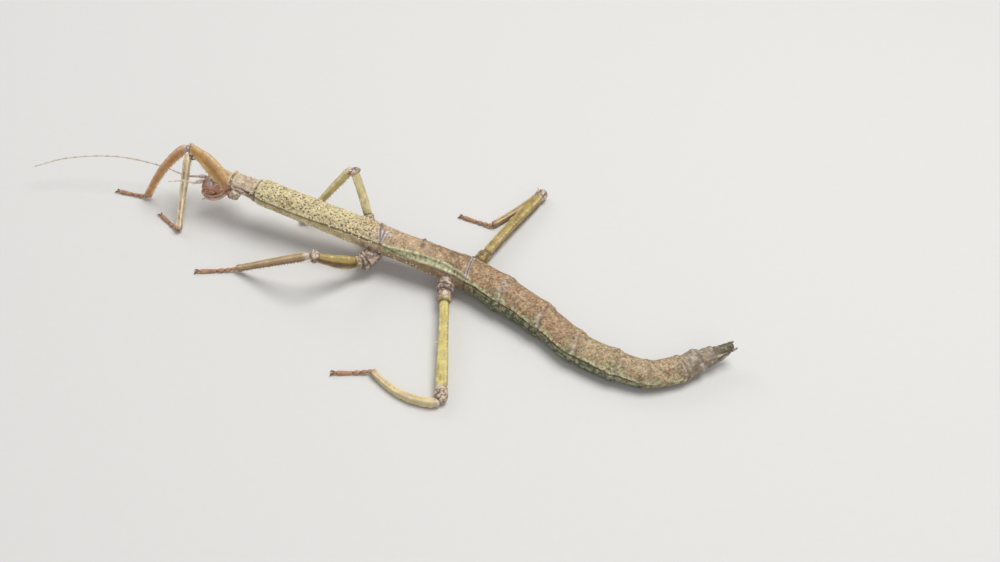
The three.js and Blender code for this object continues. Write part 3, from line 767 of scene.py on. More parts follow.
# count, places, degrees above level, radii, depths as shares of the deepest, spacing
PITS = (
    (430, (1.05, 1.97), (10, 88), (0.24, 0.38), (0.5, 1.0), 1.15),
    (420, (1.05, 1.99), (4, 88), (0.16, 0.24), (0.3, 0.6), 0.7),
    (170, (2.1, 3.1), (36, 88), (0.2, 0.32), (0.4, 0.8), 0.9),
    (90, (3.2, 9.9), (20, 88), (0.2, 0.34), (0.5, 1.0), 3.0),
)
# count, places, degrees above level, radii, heights, spacing
GRANULES = (
    (360, (1.03, 1.97), (4, 90), (0.18, 0.34), (0.14, 0.3), 1.1),
    (230, (1.04, 2.0), (-40, -24), (0.2, 0.34), (0.16, 0.34), 0.55),
    (120, (2.1, 3.9), (-40, -16), (0.18, 0.3), (0.12, 0.26), 0.8),
    (90, (2.1, 4.0), (40, 90), (0.14, 0.22), (0.08, 0.16), 1.2),
    (150, (4.1, 9.5), (-34, 26), (0.14, 0.22), (0.1, 0.16), 1.1),
    (70, (0.1, 1.0), (-20, 90), (0.16, 0.28), (0.1, 0.2), 0.9),
    (110, (9.9, 12.7), (-60, 90), (0.18, 0.22), (0.1, 0.2), 0.8),
)


def trunk_marks(pit_depth):
    """The pits of the trunk, and the granules that stand on it."""
    rng = np.random.default_rng(5)
    pits, granules = [], []
    for *field, depths, spacing in PITS:
        pits += scatter(rng, *field, [pit_depth * share for share in depths], spacing)
    for field in GRANULES:
        granules += scatter(rng, *field)
    return pits, granules


class TrunkSkin:
    """The trunk's skin from inside the head to the tail, as fields of rings by columns. Each method
    adds its own relief, in mm, or its own colours."""

    def __init__(self, sizes):
        self.sizes = sizes
        self.s = s = np.linspace(-NECK_REACH, JOINT_AT[-1], sizes.trunk_rings + 1)
        self.turn = np.arange(sizes.trunk_columns) * (2 * np.pi / sizes.trunk_columns)
        self.cos, self.sin = np.cos(self.turn)[None, :], np.sin(self.turn)[None, :]
        inside = np.clip(s, 0.0, None)
        behind = place_of(inside)
        wide, high = trunk_half(inside)
        throat = smooth(s, -0.3, 0.5)
        tail_end = (s - (JOINT_AT[-1] - TAIL_ROUND)) / TAIL_ROUND
        neck_end = (NECK_ROUND - NECK_REACH - s) / NECK_ROUND
        self.closing = np.sqrt(np.clip(1 - tail_end.clip(0) ** 2, 0, 1))
        self.closing = self.closing * np.sqrt(np.clip(1 - neck_end.clip(0) ** 2, 0, 1))
        self.wide = mix(THROAT_HALF[0], wide, throat) * self.closing
        self.high = mix(THROAT_HALF[1], high, throat) * self.closing
        self.girth = ((self.wide + self.high) / 2)[:, None]
        _, left, up = trunk_axes(inside)
        middle = trunk_point(behind / SEGMENTS)
        middle = middle + unit(HEAD_MIDDLE - NECK) * np.clip(-s, 0, None)[:, None]
        ring = around(left, up, self.cos * self.wide[:, None], self.sin * self.high[:, None])
        self.base = middle[:, None, :] + ring
        self.normal = unit(around(left, up, self.cos, self.sin))
        self.fold = fold_of(self.turn)[None, :] + 0 * s[:, None]
        slant = SLANT * smooth(behind, 1.6, 2.1) * (1 - smooth(behind, 7.5, 8.6))
        self.level = s[:, None] - slant[:, None] * self.cos
        self.place = place_of(self.level.clip(0.0))
        self.relief = 0.10 * self.noise(4.0, 1, 2) + 0.045 * self.noise(1.1, 2, 2)

    def noise(self, size, seed, octaves=1):
        return grain(self.base, size, seed, octaves)

    def zone(self, first, last, ease=0.12):
        """1 between two places along the trunk, easing to 0 beyond them."""
        into = smooth(self.place, first - ease, first + ease)
        return into * (1 - smooth(self.place, last - ease, last + ease))

    def above(self, track):
        """Millimetres around the skin from a track of (place, degrees above level)."""
        places, degrees = np.array(track, float).T
        return np.radians(self.fold - np.interp(self.place, places, degrees)) * self.girth

    def add_joints(self):
        """Folds and rims between the segments."""
        self.rings, self.rims = np.zeros_like(self.relief), np.zeros_like(self.relief)
        corners = bell(self.fold, 34, 20) + 0.5 * bell(self.fold, 78, 16)
        for joint in range(1, SEGMENTS):
            waver = (0.25 if joint < 5 else 0.55) * self.noise(2.5, 30 + joint)
            gap = self.level - JOINT_AT[joint] + waver
            strength = 0.2 if joint == 3 else 0.9 if joint < 5 else 0.75
            strength = strength * (0.7 + 0.6 * self.noise(2.2, 70 + joint))
            self.rings = np.maximum(self.rings, bell(gap, 0, 0.42) * strength)
            self.rims = np.maximum(self.rims, bell(gap, -0.95, 0.55) * strength)
            self.rims = np.maximum(self.rims, 0.5 * bell(gap, 0.9, 0.45) * strength)
            if joint in CORNERED_JOINTS:
                self.relief += 0.42 * (bell(gap, -1.9, 1.5) * corners)
        self.relief += (self.rims * millimetres(self.sizes.rim_height)
                        - self.rings * millimetres(self.sizes.ring_depth))

    def add_fans(self):
        """The rays behind the mesothorax, and the fine rings in front of the abdomen."""
        climb = np.radians(self.fold - 6) * self.girth
        spread = np.degrees(np.arctan2(self.level - distance_of(2.02), climb.clip(0.6)))
        self.radiating = bell(spread, 4, 24) * smooth(climb, 0.8, 2.0) * (1 - smooth(climb, 5.4, 7.0))
        self.fans = 0.5 + 0.5 * np.cos(np.radians(spread * 26) + 0.9 * self.noise(2.0, 3))
        self.relief += 0.34 * self.radiating * (self.fans - 0.4)
        behind = self.level - distance_of(4.0)
        self.ring_band = bell(self.level, distance_of(4.0) + 0.3, 0.9)
        self.ring_lines = 0.5 + 0.5 * np.cos(behind * 6.5 + 1.4 * self.noise(1.6, 9))
        self.relief += 0.2 * self.ring_band * (self.ring_lines - 0.4)

    def add_collar(self):
        """The collar in front, and the knobs behind it."""
        level, fold = self.level, self.fold
        self.relief += (0.5 * bell(level, 0.5, 0.45) - 0.26 * bell(level, 1.4, 0.5)
                        + 0.2 * bell(level, 2.1, 0.35))
        self.relief += 0.4 * bell(level, 1.2, 0.8) * (bell(fold, 66, 9) + 0.6 * bell(fold, 30, 12))
        self.relief -= 0.28 * bell(level, 6.2 + 0.02 * fold, 0.5) * self.zone(0.05, 0.97, 0.03)

    def add_groove(self):
        """The groove along each side, with a lip above it."""
        self.away = self.above(GROOVE) + 0.45 * self.noise(2.0, 16, 2) * self.zone(4.2, 10.5)
        self.below = smooth(-self.away, 0.2, 0.9)
        strength = self.zone(0.25, 13.2, 0.04) * (1 - 0.6 * self.zone(2.1, 4.0))
        strength = strength * (1 - 0.5 * self.zone(9.0, 13.5))
        self.groove = bell(self.away, 0, 0.3) * strength
        lip = 0.45 * bell(self.away, 0.75, 0.42) * strength
        self.relief += millimetres(self.sizes.groove_depth) * (lip - self.groove)

    def add_ridges(self):
        """Ridges of the metathorax and the segment behind it."""
        self.over_ridge, low = self.above(RIDGE_UP), self.above(RIDGE_LOW)
        along = self.zone(2.02, 4.15, 0.06)
        self.ridge = bell(self.over_ridge, 0, 0.36) + 0.85 * bell(low, 0, 0.4) * self.zone(2.35, 4.2)
        self.ridge = self.ridge * along
        self.relief += 0.4 * self.ridge - 0.16 * bell(self.over_ridge, -0.9, 0.6) * along

    def add_swellings(self):
        """The paired bumps of the back, the median line, and the swellings above the hips."""
        s, fold, angle = self.s[:, None], self.fold, np.degrees(self.turn)[None, :]
        self.bumps = bell(self.level, distance_of(2.93), 0.85) * (bell(angle, 88, 11) + bell(angle, 124, 11))
        self.front_bump = bell(self.level, distance_of(1.99), 0.8) * bell(fold, 90, 12)
        self.relief += 0.75 * self.bumps + 0.5 * self.front_bump
        self.relief += 0.07 * bell(fold, 90, 2.5) * self.zone(0.1, 4.0)
        self.flanks = (bell(s, 56.4, 4.2) * bell(fold, -16, 17)
                       + bell(s, 86.6, 3.8) * bell(fold, -18, 17))
        self.relief += self.flanks
        self.relief += (0.7 * bell(s, 3.6, 1.7) * bell(fold, -4, 13)
                        + 0.6 * bell(s, 7.6, 1.9) * bell(fold, -16, 14))

    def add_wrinkles(self):
        across, upward = self.cos * self.girth, self.sin * self.girth
        oblique = self.level + self.fold * 0.035
        self.crumple = creases(grid(self.level * 0.55, across * 1.2, upward * 1.2), 1.7, 5)
        self.folds = creases(grid(oblique, across * 0.5, upward * 0.5), 1.6, 6)
        rear = self.zone(9.85, 12.9, 0.25)
        self.rough = (0.5 * self.zone(0.05, 1.0, 0.03)
                      + 0.9 * self.zone(3.1, 4.1) * smooth(self.fold, 20, 45) + 0.9 * rear)
        self.rough = self.rough + 0.7 * self.below * self.zone(4.2, 9.5) + 1.1 * self.flanks
        depth = millimetres(self.sizes.wrinkle_depth) * self.rough
        self.relief -= depth * (0.6 * self.folds + 0.6 * self.crumple)
        self.relief += 0.24 * rear * self.noise(1.0, 8, 2)

    def add_marks(self):
        """Pits, and granules that cover them."""
        pits, granules = trunk_marks(millimetres(self.sizes.pit_depth))
        self.pits, self.grains = np.zeros_like(self.relief), np.zeros_like(self.relief)
        stamp(self.pits, self.s, pits, self.wide, self.high)
        stamp(self.grains, self.s, granules, self.wide, self.high)
        self.pits *= 1 - np.clip(self.grains * 4, 0, 1)
        self.relief += 0.55 * self.grains - self.pits

    def points(self):
        """The skin's points, where the relief dies away towards both closed ends."""
        fade = self.closing[:, None] * smooth(self.s, -0.5, 0.4)[:, None]
        points = self.base + self.normal * (self.relief * fade)[..., None]
        points[..., 2] = points[..., 2].clip(0.0)
        return points

    def coat(self, *coats):
        self.paint = layered(self.paint, *coats)

    def paint_ground(self):
        """Colours from the neck to the tail."""
        palette = np.array([paint_of(name) for _, name in TRUNK_STOPS])
        stops = [stop for stop, _ in TRUNK_STOPS]
        self.paint = np.stack([np.interp(self.place, stops, palette[:, k]) for k in range(3)], -1)
        self.cloud, self.fine, grit = self.noise(2.6, 12, 3), self.noise(0.7, 13, 2), self.noise(0.45, 14)
        cloud, fine = self.cloud, self.fine
        front, middle, rear = self.zone(1.0, 2.1), self.zone(2.0, 4.1), self.zone(4.0, 10.0)
        self.coat(
            (front * smooth(cloud, 0.0, 0.5) * 0.35, "ochre"),
            (front * smooth(fine, 0.0, 0.5) * 0.55, "cream"),
            (front * smooth(-fine, 0.25, 0.6) * 0.25, "moss"),
            (middle * smooth(cloud, 0.0, 0.5) * 0.5, "umber"),
            (rear * smooth(cloud, 0.05, 0.6) * 0.2, "pit"),
            (rear * smooth(grit, 0.0, 0.5) * 0.35, "cream"),
            (rear * smooth(-grit, 0.1, 0.6) * 0.5, "peat"),
            (middle * smooth(fine, 0.1, 0.5) * 0.45, "cream"),
            (self.zone(0.0, 1.0) * smooth(fine, 0.1, 0.5) * 0.5, "cream"),
            (self.rough * 0.5 * np.maximum(self.folds, self.crumple), "pit"),
            (self.zone(9.9, 12.6) * smooth(cloud, 0.1, 0.5) * 0.6, "lavender"),
        )

    def paint_sides(self):
        """The darker lower sides, and the pale patches above them."""
        cloud, fine, below, away, zone = self.cloud, self.fine, self.below, self.away, self.zone
        dark_side = below * zone(4.15, 9.3, 0.35)
        flecks = smooth(self.noise(0.9, 15, 2), 0.08, 0.3)
        edge = bell(away, 0.9, 1.1) * zone(4.2, 9.6, 0.2)
        corner = sum(bell(self.level - JOINT_AT[j], -1.4, 2.4) for j in (5, 6, 7, 8))
        corner = corner * bell(self.fold, 26, 20)
        crumbs = smooth(self.noise(0.8, 17, 2), 0.0, 0.2)
        crumbs = crumbs * (bell(away, 0.5, 0.9) + 0.5 * bell(away, -1.8, 1.6))
        self.coat(
            (below * zone(1.0, 2.1) * 0.4 * smooth(cloud, -0.3, 0.3), "ochre"),
            (bell(away, -2.6, 0.8) * zone(1.0, 2.1) * smooth(fine, -0.2, 0.2) * 0.7, "cream"),
            (below * zone(2.1, 4.1) * 0.35, "peat"),
            (dark_side * smooth(cloud, -0.8, 0.0) * 0.95, "moss"),
            (dark_side * smooth(-fine, 0.0, 0.4) * 0.6, "pit"),
            (below * zone(8.6, 10.2, 0.5) * 0.6, "peat"),
            (flecks * np.clip(0.9 * edge + corner + 0.35 * dark_side, 0, 1), "lichen"),
            (0.4 * corner * smooth(cloud, -0.3, 0.3), "lichen"),
            (0.5 * corner * smooth(-fine, 0.0, 0.3), "moss"),
            (crumbs * zone(4.15, 10.2, 0.1), "mint"),
        )

    def paint_lines(self):
        """Ridges, grooves, rims and the seam behind the collar."""
        cloud, fine, place, zone = self.cloud, self.fine, self.place, self.zone
        over, rims = self.over_ridge, self.rims
        band = zone(2.05, 4.2) * smooth(over, -3.4, -1.4) * (1 - smooth(over, 0.2, 0.9))
        back = smooth(place, 4.3, 4.8)
        front = 1 - 0.65 * back
        seam = self.level - JOINT_AT[1] + 0.15 * self.noise(2.0, 31)
        upper = self.fold > -30
        self.coat(
            (band * smooth(fine, -0.6, 0.2) * 0.7, "lichen"),
            (band * smooth(-fine, 0.1, 0.5) * 0.4, "moss"),
            (self.ridge * (0.75 + 0.25 * np.sign(fine)) * 0.9, "mint"),
            ((0.9 - 0.35 * zone(1.0, 2.1)) * self.groove, "pit"),
            (0.55 * bell(self.away, 0.8, 0.4) * zone(1.0, 2.1), "cream"),
            (0.6 * front * rims * smooth(fine + 0.4 * cloud, -0.1, 0.4), "lavender"),
            (back * rims * smooth(fine + 0.5 * cloud, -0.1, 0.2) * 0.8, "lavender"),
            (0.65 * self.rings * smooth(fine, -0.7, -0.1), "peat"),
            (0.8 * bell(seam, 0.5, 0.3) * upper, "cream"),
            (0.75 * bell(seam, 0.0, 0.26) * upper, "pit"),
        )

    def paint_marks(self):
        """Spots, rays, bumps, the collar, side plates, pits and granules, and painted shade on the
        underside.
        """
        cloud, fine, fold, level = self.cloud, self.fine, self.fold, self.level
        spot = bell(level, distance_of(5.0) - 0.4, 1.1) * bell(fold, 64, 14)
        ringed = self.ring_band * smooth(fold, 4, 20)
        plates = self.zone(0.05, 1.0, 0.04) * bell(fold, -6, 24)
        pits = self.pits / millimetres(self.sizes.pit_depth)
        cuticle = mix(0.75, 0.35, smooth(self.place, 4.0, 4.4))
        streak = bell(fold, 8 - 56 * (self.place - 12.12), 11) * self.zone(12.0, 12.85, 0.06)
        self.coat(
            (0.9 * spot * smooth(fine, -0.2, 0.2), "lavender"),
            (0.5 * spot * smooth(-fine, 0.0, 0.3), "plum"),
            (0.85 * ringed * smooth(self.ring_lines, 0.5, 0.8), "lavender"),
            (0.6 * ringed * smooth(-self.ring_lines, -0.35, -0.1), "plum"),
            (self.radiating * 0.4, "lavender"),
            (self.radiating * 0.95 * smooth(self.fans, 0.5, 0.8), "lavender"),
            (self.radiating * 0.75 * smooth(-self.fans, -0.4, -0.1), "plum"),
            (np.clip(self.bumps * 1.3, 0, 1) * 0.8, "plum"),
            (self.front_bump * 0.85, "plum"),
            (0.95 * bell(level, 0.45, 0.5) + 0.5 * bell(level, 2.1, 0.35) * (fold > -20), "cream"),
            (0.6 * bell(level, 1.35, 0.45), "peat"),
            (plates * 0.8 * smooth(cloud, -0.4, 0.1), "shell"),
            (plates * 0.6 * self.folds, "pit"),
            (np.clip(pits, 0, 1) * 0.6, "umber"),
            (smooth(pits, 0.2, 0.6) * 0.85, "pit"),
            (np.clip(self.grains / 0.16, 0, 1) * cuticle, "cream"),
            (np.clip(1.3 * self.flanks, 0, 1) * 0.85, "hip"),
            (self.flanks * np.maximum(self.folds, self.crumple) * 0.8, "pit"),
            (0.9 * streak * (self.cos > 0), "shell"),
            # Painted shade: the underside is darkened with peat, more deeply towards the belly.
            (smooth(-fold, 30, 70) * 0.35, "peat"),
        )

    def shape(self, t, turn):
        """What rolled() asks for, on the grid that this skin already has."""
        for step in (self.add_joints, self.add_fans, self.add_collar, self.add_groove, self.add_ridges,
                     self.add_swellings, self.add_wrinkles, self.add_marks,
                     self.paint_ground, self.paint_sides, self.paint_lines, self.paint_marks):
            step()
        flecks = 0.25 + 0.5 * self.zone(2.1, 10.0) + 0.3 * self.zone(1.0, 2.1)
        pores = self.zone(1.03, 2.05, 0.04) * smooth(self.away, -0.2, 0.9) + 0.3 * self.zone(2.1, 10.0)
        return self.points(), np.concatenate([self.paint, pores[..., None]], -1), flecks


def build_trunk(scene):
    sizes = scene.insect_sizes
    mesh = rolled(sizes.trunk_rings, sizes.trunk_columns, TrunkSkin(sizes).shape)
    piece = joined("trunk_skin", [mesh], finish("trunk"))
    settle(piece, "thorax", *[row[0] for row in TRUNK])


# ---------------------------------------------------------------- granules


def build_granules(scene):
    """The larger granules of the trunk, as small closed beads that stand in the skin."""
    widest = millimetres(scene.insect_sizes.granule_width)
    _, granules = trunk_marks(millimetres(scene.insect_sizes.pit_depth))
    bead = ball_mesh(6, 4)
    ball = places_of(bead)
    spots = [mark for mark in granules if mark[2] > 0.24 and mark[0] < distance_of(4.0)]
    whole = bmesh.new()
    points = []
    for at, turn, radius, height in spots:
        middle, normal = trunk_surface(at, turn)
        axes = basis(normal, hint=np.array([0.3, 0.2, 0.93]))
        half = 1.15 * widest * radius / 0.68
        reach = half * 0.9
        points.append(middle + normal * (height * 0.55) + (ball * [reach, half, half * 0.9]) @ axes)
        whole.from_mesh(bead)
    mesh = bpy.data.meshes.new("granules")
    whole.to_mesh(mesh)
    whole.free()
    bpy.data.meshes.remove(bead)
    points = np.vstack(points)
    points[:, 2] = points[:, 2].clip(0.0)
    paint = cover(flat("cream", points), smooth(grain(points, 6.0, 40), -0.2, 0.6) * 0.5, "straw")
    dress(mesh, points, paint, 0.1)
    settle(joined("trunk_granules", [mesh], finish("granule")), "thorax")


# ---------------------------------------------------------------- head


def head_axes():
    """The head's own forward, left and up."""
    along = direction(HEAD_HEADING, HEAD_PITCH)
    left = unit(np.cross(UP, along))
    return np.array([along, left, np.cross(along, left)])


def from_head(points):
    """Places in the head's own frame, moved into the insect's."""
    return HEAD_MIDDLE + np.asarray(points, float) @ head_axes()


def head_surface(t, turn):
    """The head capsule's skin in its own frame: x forward, y left, z up."""
    t = mix(t, 0.5 - 0.5 * np.cos(np.pi * t), 0.7)
    x = mix(-HEAD_LENGTH / 2, HEAD_LENGTH / 2, t)
    span = np.sqrt(np.clip(1 - np.abs(2 * t - 1) ** 3.2, 0, 1))
    half_wide = HEAD_WIDTH / 2 * span * mix(0.9, 1.0, smooth(t, 0.3, 0.7))
    half_high = HEAD_HEIGHT / 2 * span**0.85
    cos, sin = np.cos(turn), np.sin(turn)
    y = half_wide * cos
    z = half_high * sin + mix(0.4, -0.5, t)
    # The brow slopes back, and the jaw narrows below.
    y = y * (1 - 0.1 * smooth(-sin, 0.4, 1.0))
    x = x - (0.6 * smooth(sin, 0.3, 1.0) - 0.25 * smooth(-sin, 0.1, 0.9)) * smooth(t, 0.6, 1.0)
    return x, y, z


def build_head():
    """The head capsule, with its eye sockets, folded cheeks and striped sides."""
    def shape(t, turn):
        x, y, z = head_surface(t, turn)
        own = grid(x, y, z)
        outward = unit(own * [0.5, 1.0, 1.0])
        fine = grain(own, 0.55, 21, 2)
        cloud = grain(own, 1.6, 22, 2)
        relief = 0.05 * cloud + 0.03 * fine
        ahead, out, high = own[..., 0], np.abs(own[..., 1]), own[..., 2]
        side_on = smooth(out, 1.0, 2.4)

        def near(x, y, z):
            return np.linalg.norm(grid(ahead, out, high) - np.array([x, y, z]), axis=-1)

        to_eye = near(EYE_FORWARD, EYE_SIDE, EYE_UP)
        socket = bell(to_eye, 1.22, 0.22)
        relief += 0.16 * socket - 0.5 * bell(to_eye, 0.0, 0.85)
        # The stripe behind the eye, the folded oval of the cheek and the seam down the crown.
        down = high - (4.0 + 1.06 * ahead)
        stripe = bell(down, 0, 0.34) * smooth(-ahead, 0.2, 0.9) * (1 - smooth(-ahead, 2.9, 3.6))
        oval = np.hypot((ahead - 2.4) / 2.0, (high + 1.3) / 1.25)
        oval = oval + 0.16 * grain(own, 1.1, 23, 2)
        ringlets = 0.5 + 0.5 * np.cos(oval * 2 * np.pi / 0.8)
        on_cheek = (1 - smooth(oval, 1.5, 2.0)) * side_on
        bands = 0.5 + 0.5 * np.cos((high + 0.22 * ahead + 0.15 * cloud) * 5.6)
        on_bands = bell(high, -1.9, 1.2) * smooth(-ahead, -1.0, 0.6) * side_on
        crown = bell(own[..., 1], 0.0, 0.16) * (high > 0)
        relief += 0.3 * (ringlets - 0.5) * on_cheek + 0.22 * (bands - 0.5) * on_bands
        relief -= 0.14 * stripe * side_on + 0.1 * crown
        knobs = np.maximum(bell(near(1.4, 1.0, 3.4), 0, 0.55), bell(near(-3.0, 1.6, 3.2), 0, 0.5))
        relief += 0.35 * knobs + 0.12 * creases(own, 1.4, 24) * smooth(-ahead, -1.0, 2.0)
        ease = np.sqrt(np.clip(1 - np.abs(2 * t - 1) ** 4, 0, 1))
        own = own + outward * (relief * ease)[..., None]
        paint = layered(
            flat("face", own),
            (smooth(own[..., 2], 0.8, 2.6) * 0.8, "crown"),
            (smooth(-own[..., 0], 1.0, 3.5) * 0.4, "shell"),
            (smooth(cloud, 0.0, 0.6) * 0.35, "shell"),
            (smooth(-fine, 0.1, 0.5) * 0.3, "cheek"),
            (np.maximum(on_cheek, on_bands) * 0.8, "fold"),
            (on_cheek * smooth(-ringlets, -0.35, -0.05) * 0.9, "cheek"),
            (on_cheek * smooth(ringlets, 0.8, 1.0) * 0.35, "shell"),
            (on_bands * smooth(-bands, -0.5, -0.1) * 0.8, "cheek"),
            (on_bands * smooth(bands, 0.6, 0.95) * 0.6, "shell"),
            (0.8 * stripe * side_on, "plum"),
            (0.5 * bell(to_eye, 1.4, 0.7), "shell"),
            (0.5 * knobs, "cream"),
        )
        return from_head(own), paint, 0.35

    mesh = rolled(96, 96, shape)
    settle(joined("head_skin", [mesh], finish("head")), "head", "head")


def build_eyes(scene):
    radius = millimetres(scene.insect_sizes.eye_radius)
    for name, side in SIDES:
        outward = unit([0.25, side, 0.35])
        middle = np.array([EYE_FORWARD, side * EYE_SIDE, EYE_UP])
        axes = basis(outward)
        radii = (0.85, radius, radius)
        mesh = blob(from_head(middle), axes @ head_axes(), radii, paint_of("eye"), 0.0, rows=28)
        own = ((places_of(mesh) / MM - CENTRE - HEAD_MIDDLE) @ head_axes().T - middle) @ axes.T
        off = np.hypot(own[:, 1] - 0.05 * side, own[:, 2] - 0.02)
        paint = layered(
            flat("eye", own),
            (0.4 * smooth(off, 0.66, 0.98), "face"),
            (0.95 * bell(off, 0, 0.2) * (own[:, 0] > 0), paint_of("pit") * 0.5),
        )
        for layer in ("paint", "fleck"):
            mesh.attributes.remove(mesh.attributes[layer])
        store(mesh, paint, 0.0)
        settle(joined(f"eye_{name}_cornea", [mesh], finish("eye")), "eye", f"eye_{name}")


def limb(rings, columns, curve, size, paint, fleck=0.3, hint=UP, ends=(0.25, 0.25),
         relief=None, floor=None):
    """A closed bar of changing section. size(t, turn) gives half width and half height in mm,
    paint(t, turn, points) its colours, and ends how far each end is rounded, as a share of t."""
    point, tangent = curve

    def shape(t, turn):
        forward = tangent(t[:, 0])
        left = unit(np.cross(hint, forward))
        up = np.cross(forward, left)
        wide, high = size(t, turn)
        close = np.sqrt(np.clip(1 - ((ends[0] - t) / ends[0]).clip(0) ** 2, 0, 1))
        close = close * np.sqrt(np.clip(1 - ((t - 1 + ends[1]) / ends[1]).clip(0) ** 2, 0, 1))
        cos, sin = np.cos(turn), np.sin(turn)
        ring = around(left, up, cos * wide, sin * high)
        points = point(t[:, 0])[:, None, :] + ring * close[..., None]
        colours = paint(t, turn, points)
        if relief is not None:
            lift = relief(t, turn, points) * close
            points = points + unit(around(left, up, cos, sin)) * lift[..., None]
        if floor is not None:
            points[..., 2] = points[..., 2].clip(floor)
        return points, colours, fleck

    return rolled(rings, columns, shape)


SLIM = (0.08, 0.08)     # how far a slim bar's ends are rounded


def build_mouthparts():
    """Upper lip, two jaws, lower lip and the four short feelers of the mouth."""
    pieces = []
    pale, red = paint_of("shell"), paint_of("cheek")
    fold = mix(mix(paint_of("fold"), paint_of("face"), 0.35), pale, 0.3)

    def bar(places, halves, colours, rings, columns, ridge=0.0, waves=4, ends=(0.2, 0.2)):
        """A bar through places in the head's own frame, with halves of width and height along it."""
        curve = (quadratic if len(places) == 3 else cubic)(*from_head(places))
        stops = np.linspace(0, 1, len(halves))
        halves = np.array(halves)

        def size(t, turn):
            return np.interp(t, stops, halves[:, 0]), np.interp(t, stops, halves[:, 1])

        def relief(t, turn, points):
            return ridge * np.cos(t * np.pi * 2 * waves) + 0.05 * grain(points, 0.5, 25, 2)

        pieces.append(limb(rings, columns, curve, size, colours, 0.25,
                           hint=head_axes()[2], relief=relief, ends=ends))

    def banded(first, second):
        def paint(t, turn, points):
            return cover(flat(first, points), smooth(grain(points, 0.6, 26, 2), 0.0, 0.4), second)
        return paint

    # The jaws as one body, and the upper lip over them.
    bar(((-2.2, 0, -3.3), (2.2, 0, -4.5), (6.3, 0, -2.9)),
        ((1.0, 0.65), (2.0, 1.2), (2.4, 1.4), (2.2, 1.3), (1.4, 0.9)),
        banded(fold, pale), 40, 28, ridge=0.06)
    bar(((5.0, 0, -1.6), (6.4, 0, -2.3), (6.3, 0, -4.0)),
        ((1.4, 0.5), (1.9, 0.55), (1.4, 0.45)), banded(fold, pale), 20, 16)
    for side in (1, -1):
        # The frilled band of this side, the fold above it, the dark line between, and two feelers.
        bar(((6.0, side * 0.9, -3.0), (5.6, side * 2.2, -5.9), (0.4, side * 2.7, -5.6),
             (-3.6, side * 2.1, -2.4)),
            ((0.45, 0.5), (0.62, 0.7), (0.7, 0.8), (0.62, 0.75), (0.4, 0.5)),
            banded(mix(pale, paint_of("face"), 0.2), "rose"), 110, 20, ridge=0.13, waves=13, ends=SLIM)
        bar(((5.8, side * 1.3, -1.9), (4.9, side * 2.8, -3.9), (0.4, side * 3.1, -3.6),
             (-3.2, side * 2.4, -1.6)),
            ((0.4, 0.4), (0.55, 0.5), (0.6, 0.5), (0.55, 0.45), (0.4, 0.4)),
            banded(fold, pale), 60, 14, ridge=0.05, waves=7, ends=SLIM)
        bar(((5.9, side * 1.3, -2.4), (5.2, side * 2.8, -4.9), (0.4, side * 3.2, -4.5),
             (-3.3, side * 2.4, -2.0)),
            ((0.25, 0.25), (0.3, 0.25), (0.3, 0.25), (0.3, 0.25), (0.25, 0.2)),
            banded(red, fold), 60, 10, waves=5, ends=SLIM)
        for x, out in ((4.7, 0.9), (1.0, 1.2)):
            bar(((x, side * 1.3, -4.1), (x + 0.7, side * (1.8 + 0.4 * out), -5.4),
                 (x + 2.2, side * (1.5 + 0.5 * out), -5.5)),
                ((0.44, 0.44), (0.36, 0.36), (0.42, 0.42), (0.3, 0.3), (0.36, 0.36), (0.3, 0.3)),
                banded(pale, "cream"), 24, 12, ends=(0.1, 0.1))
    settle(joined("mouth_parts", pieces, finish("head")), "mouthparts", "mouthparts")


def build_antennae():
    """Each feeler's two thick root joints, and the jointed thread that follows them."""
    for name, side in SIDES:
        thick, tip, route = FEELERS[name]
        start = np.array([SCAPE_FORWARD, side * SCAPE_SIDE, SCAPE_UP])
        along = direction(side * SCAPE_AZIMUTH, SCAPE_ELEVATION)
        root, end = from_head(start), from_head(start + along * SCAPE_LENGTH)
        cream = mix(paint_of("cream"), paint_of("lavender"), 0.5)

        def root_size(t, turn):
            body = 0.84 * mix(1, 0.64, smooth(t, 0.55, 0.66)) * mix(0.62, 1, smooth(t, 0.04, 0.3))
            body = body * (1 - 0.14 * bell(t, 0.6, 0.03)) * (1 + 0.08 * bell(t, 0.93, 0.06))
            return body, body * 0.85

        def root_paint(t, turn, points):
            return layered(
                flat("shell", points),
                (0.6 * (bell(t, 0.62, 0.05) + bell(t, 0.03, 0.05)), "cheek"),
                (0.4 * smooth(grain(points, 0.7, 27, 2), 0.0, 0.5), "rose"),
            )

        pieces = [limb(40, 20, quadratic(root, (root + end) / 2, end), root_size, root_paint, 0.2,
                       ends=(0.08, 0.06))]
        curve = spline(np.vstack([[end - (end - root) * 0.04], route]))
        reach = np.linalg.norm(np.diff(np.vstack([[end], route]), axis=0), axis=1).sum()
        joints = max(int(reach / 2.6), 4)

        def thread_size(t, turn):
            half = mix(thick, tip, t) / 2 * (1 + 0.12 * np.cos(2 * np.pi * t * joints))
            return half, half

        def thread_paint(t, turn, points):
            return layered(
                flat(cream, points),
                (0.4 * (1 - smooth(t, 0.0, 0.25)), "rose"),
                (0.35 * smooth(np.cos(2 * np.pi * t * joints), 0.7, 1.0), "umber"),
            )

        pieces.append(limb(joints * 10, 10, curve, thread_size, thread_paint, 0.1, ends=(0.01, 0.01)))
        settle(joined(f"antenna_{name}_thread", pieces, finish("leg")), "feeler",
               f"antenna_base_{name}", f"antenna_{name}")


# ---------------------------------------------------------------- legs


def trunk_arc(distance):
    """The point of the trunk's centre line at a true distance behind the neck."""
    t = np.linspace(0, 1, 2001)
    line = trunk_point(t)
    run = np.concatenate([[0], np.cumsum(np.linalg.norm(np.diff(line, axis=0), axis=1))])
    return trunk_point(np.interp(distance, run, t))


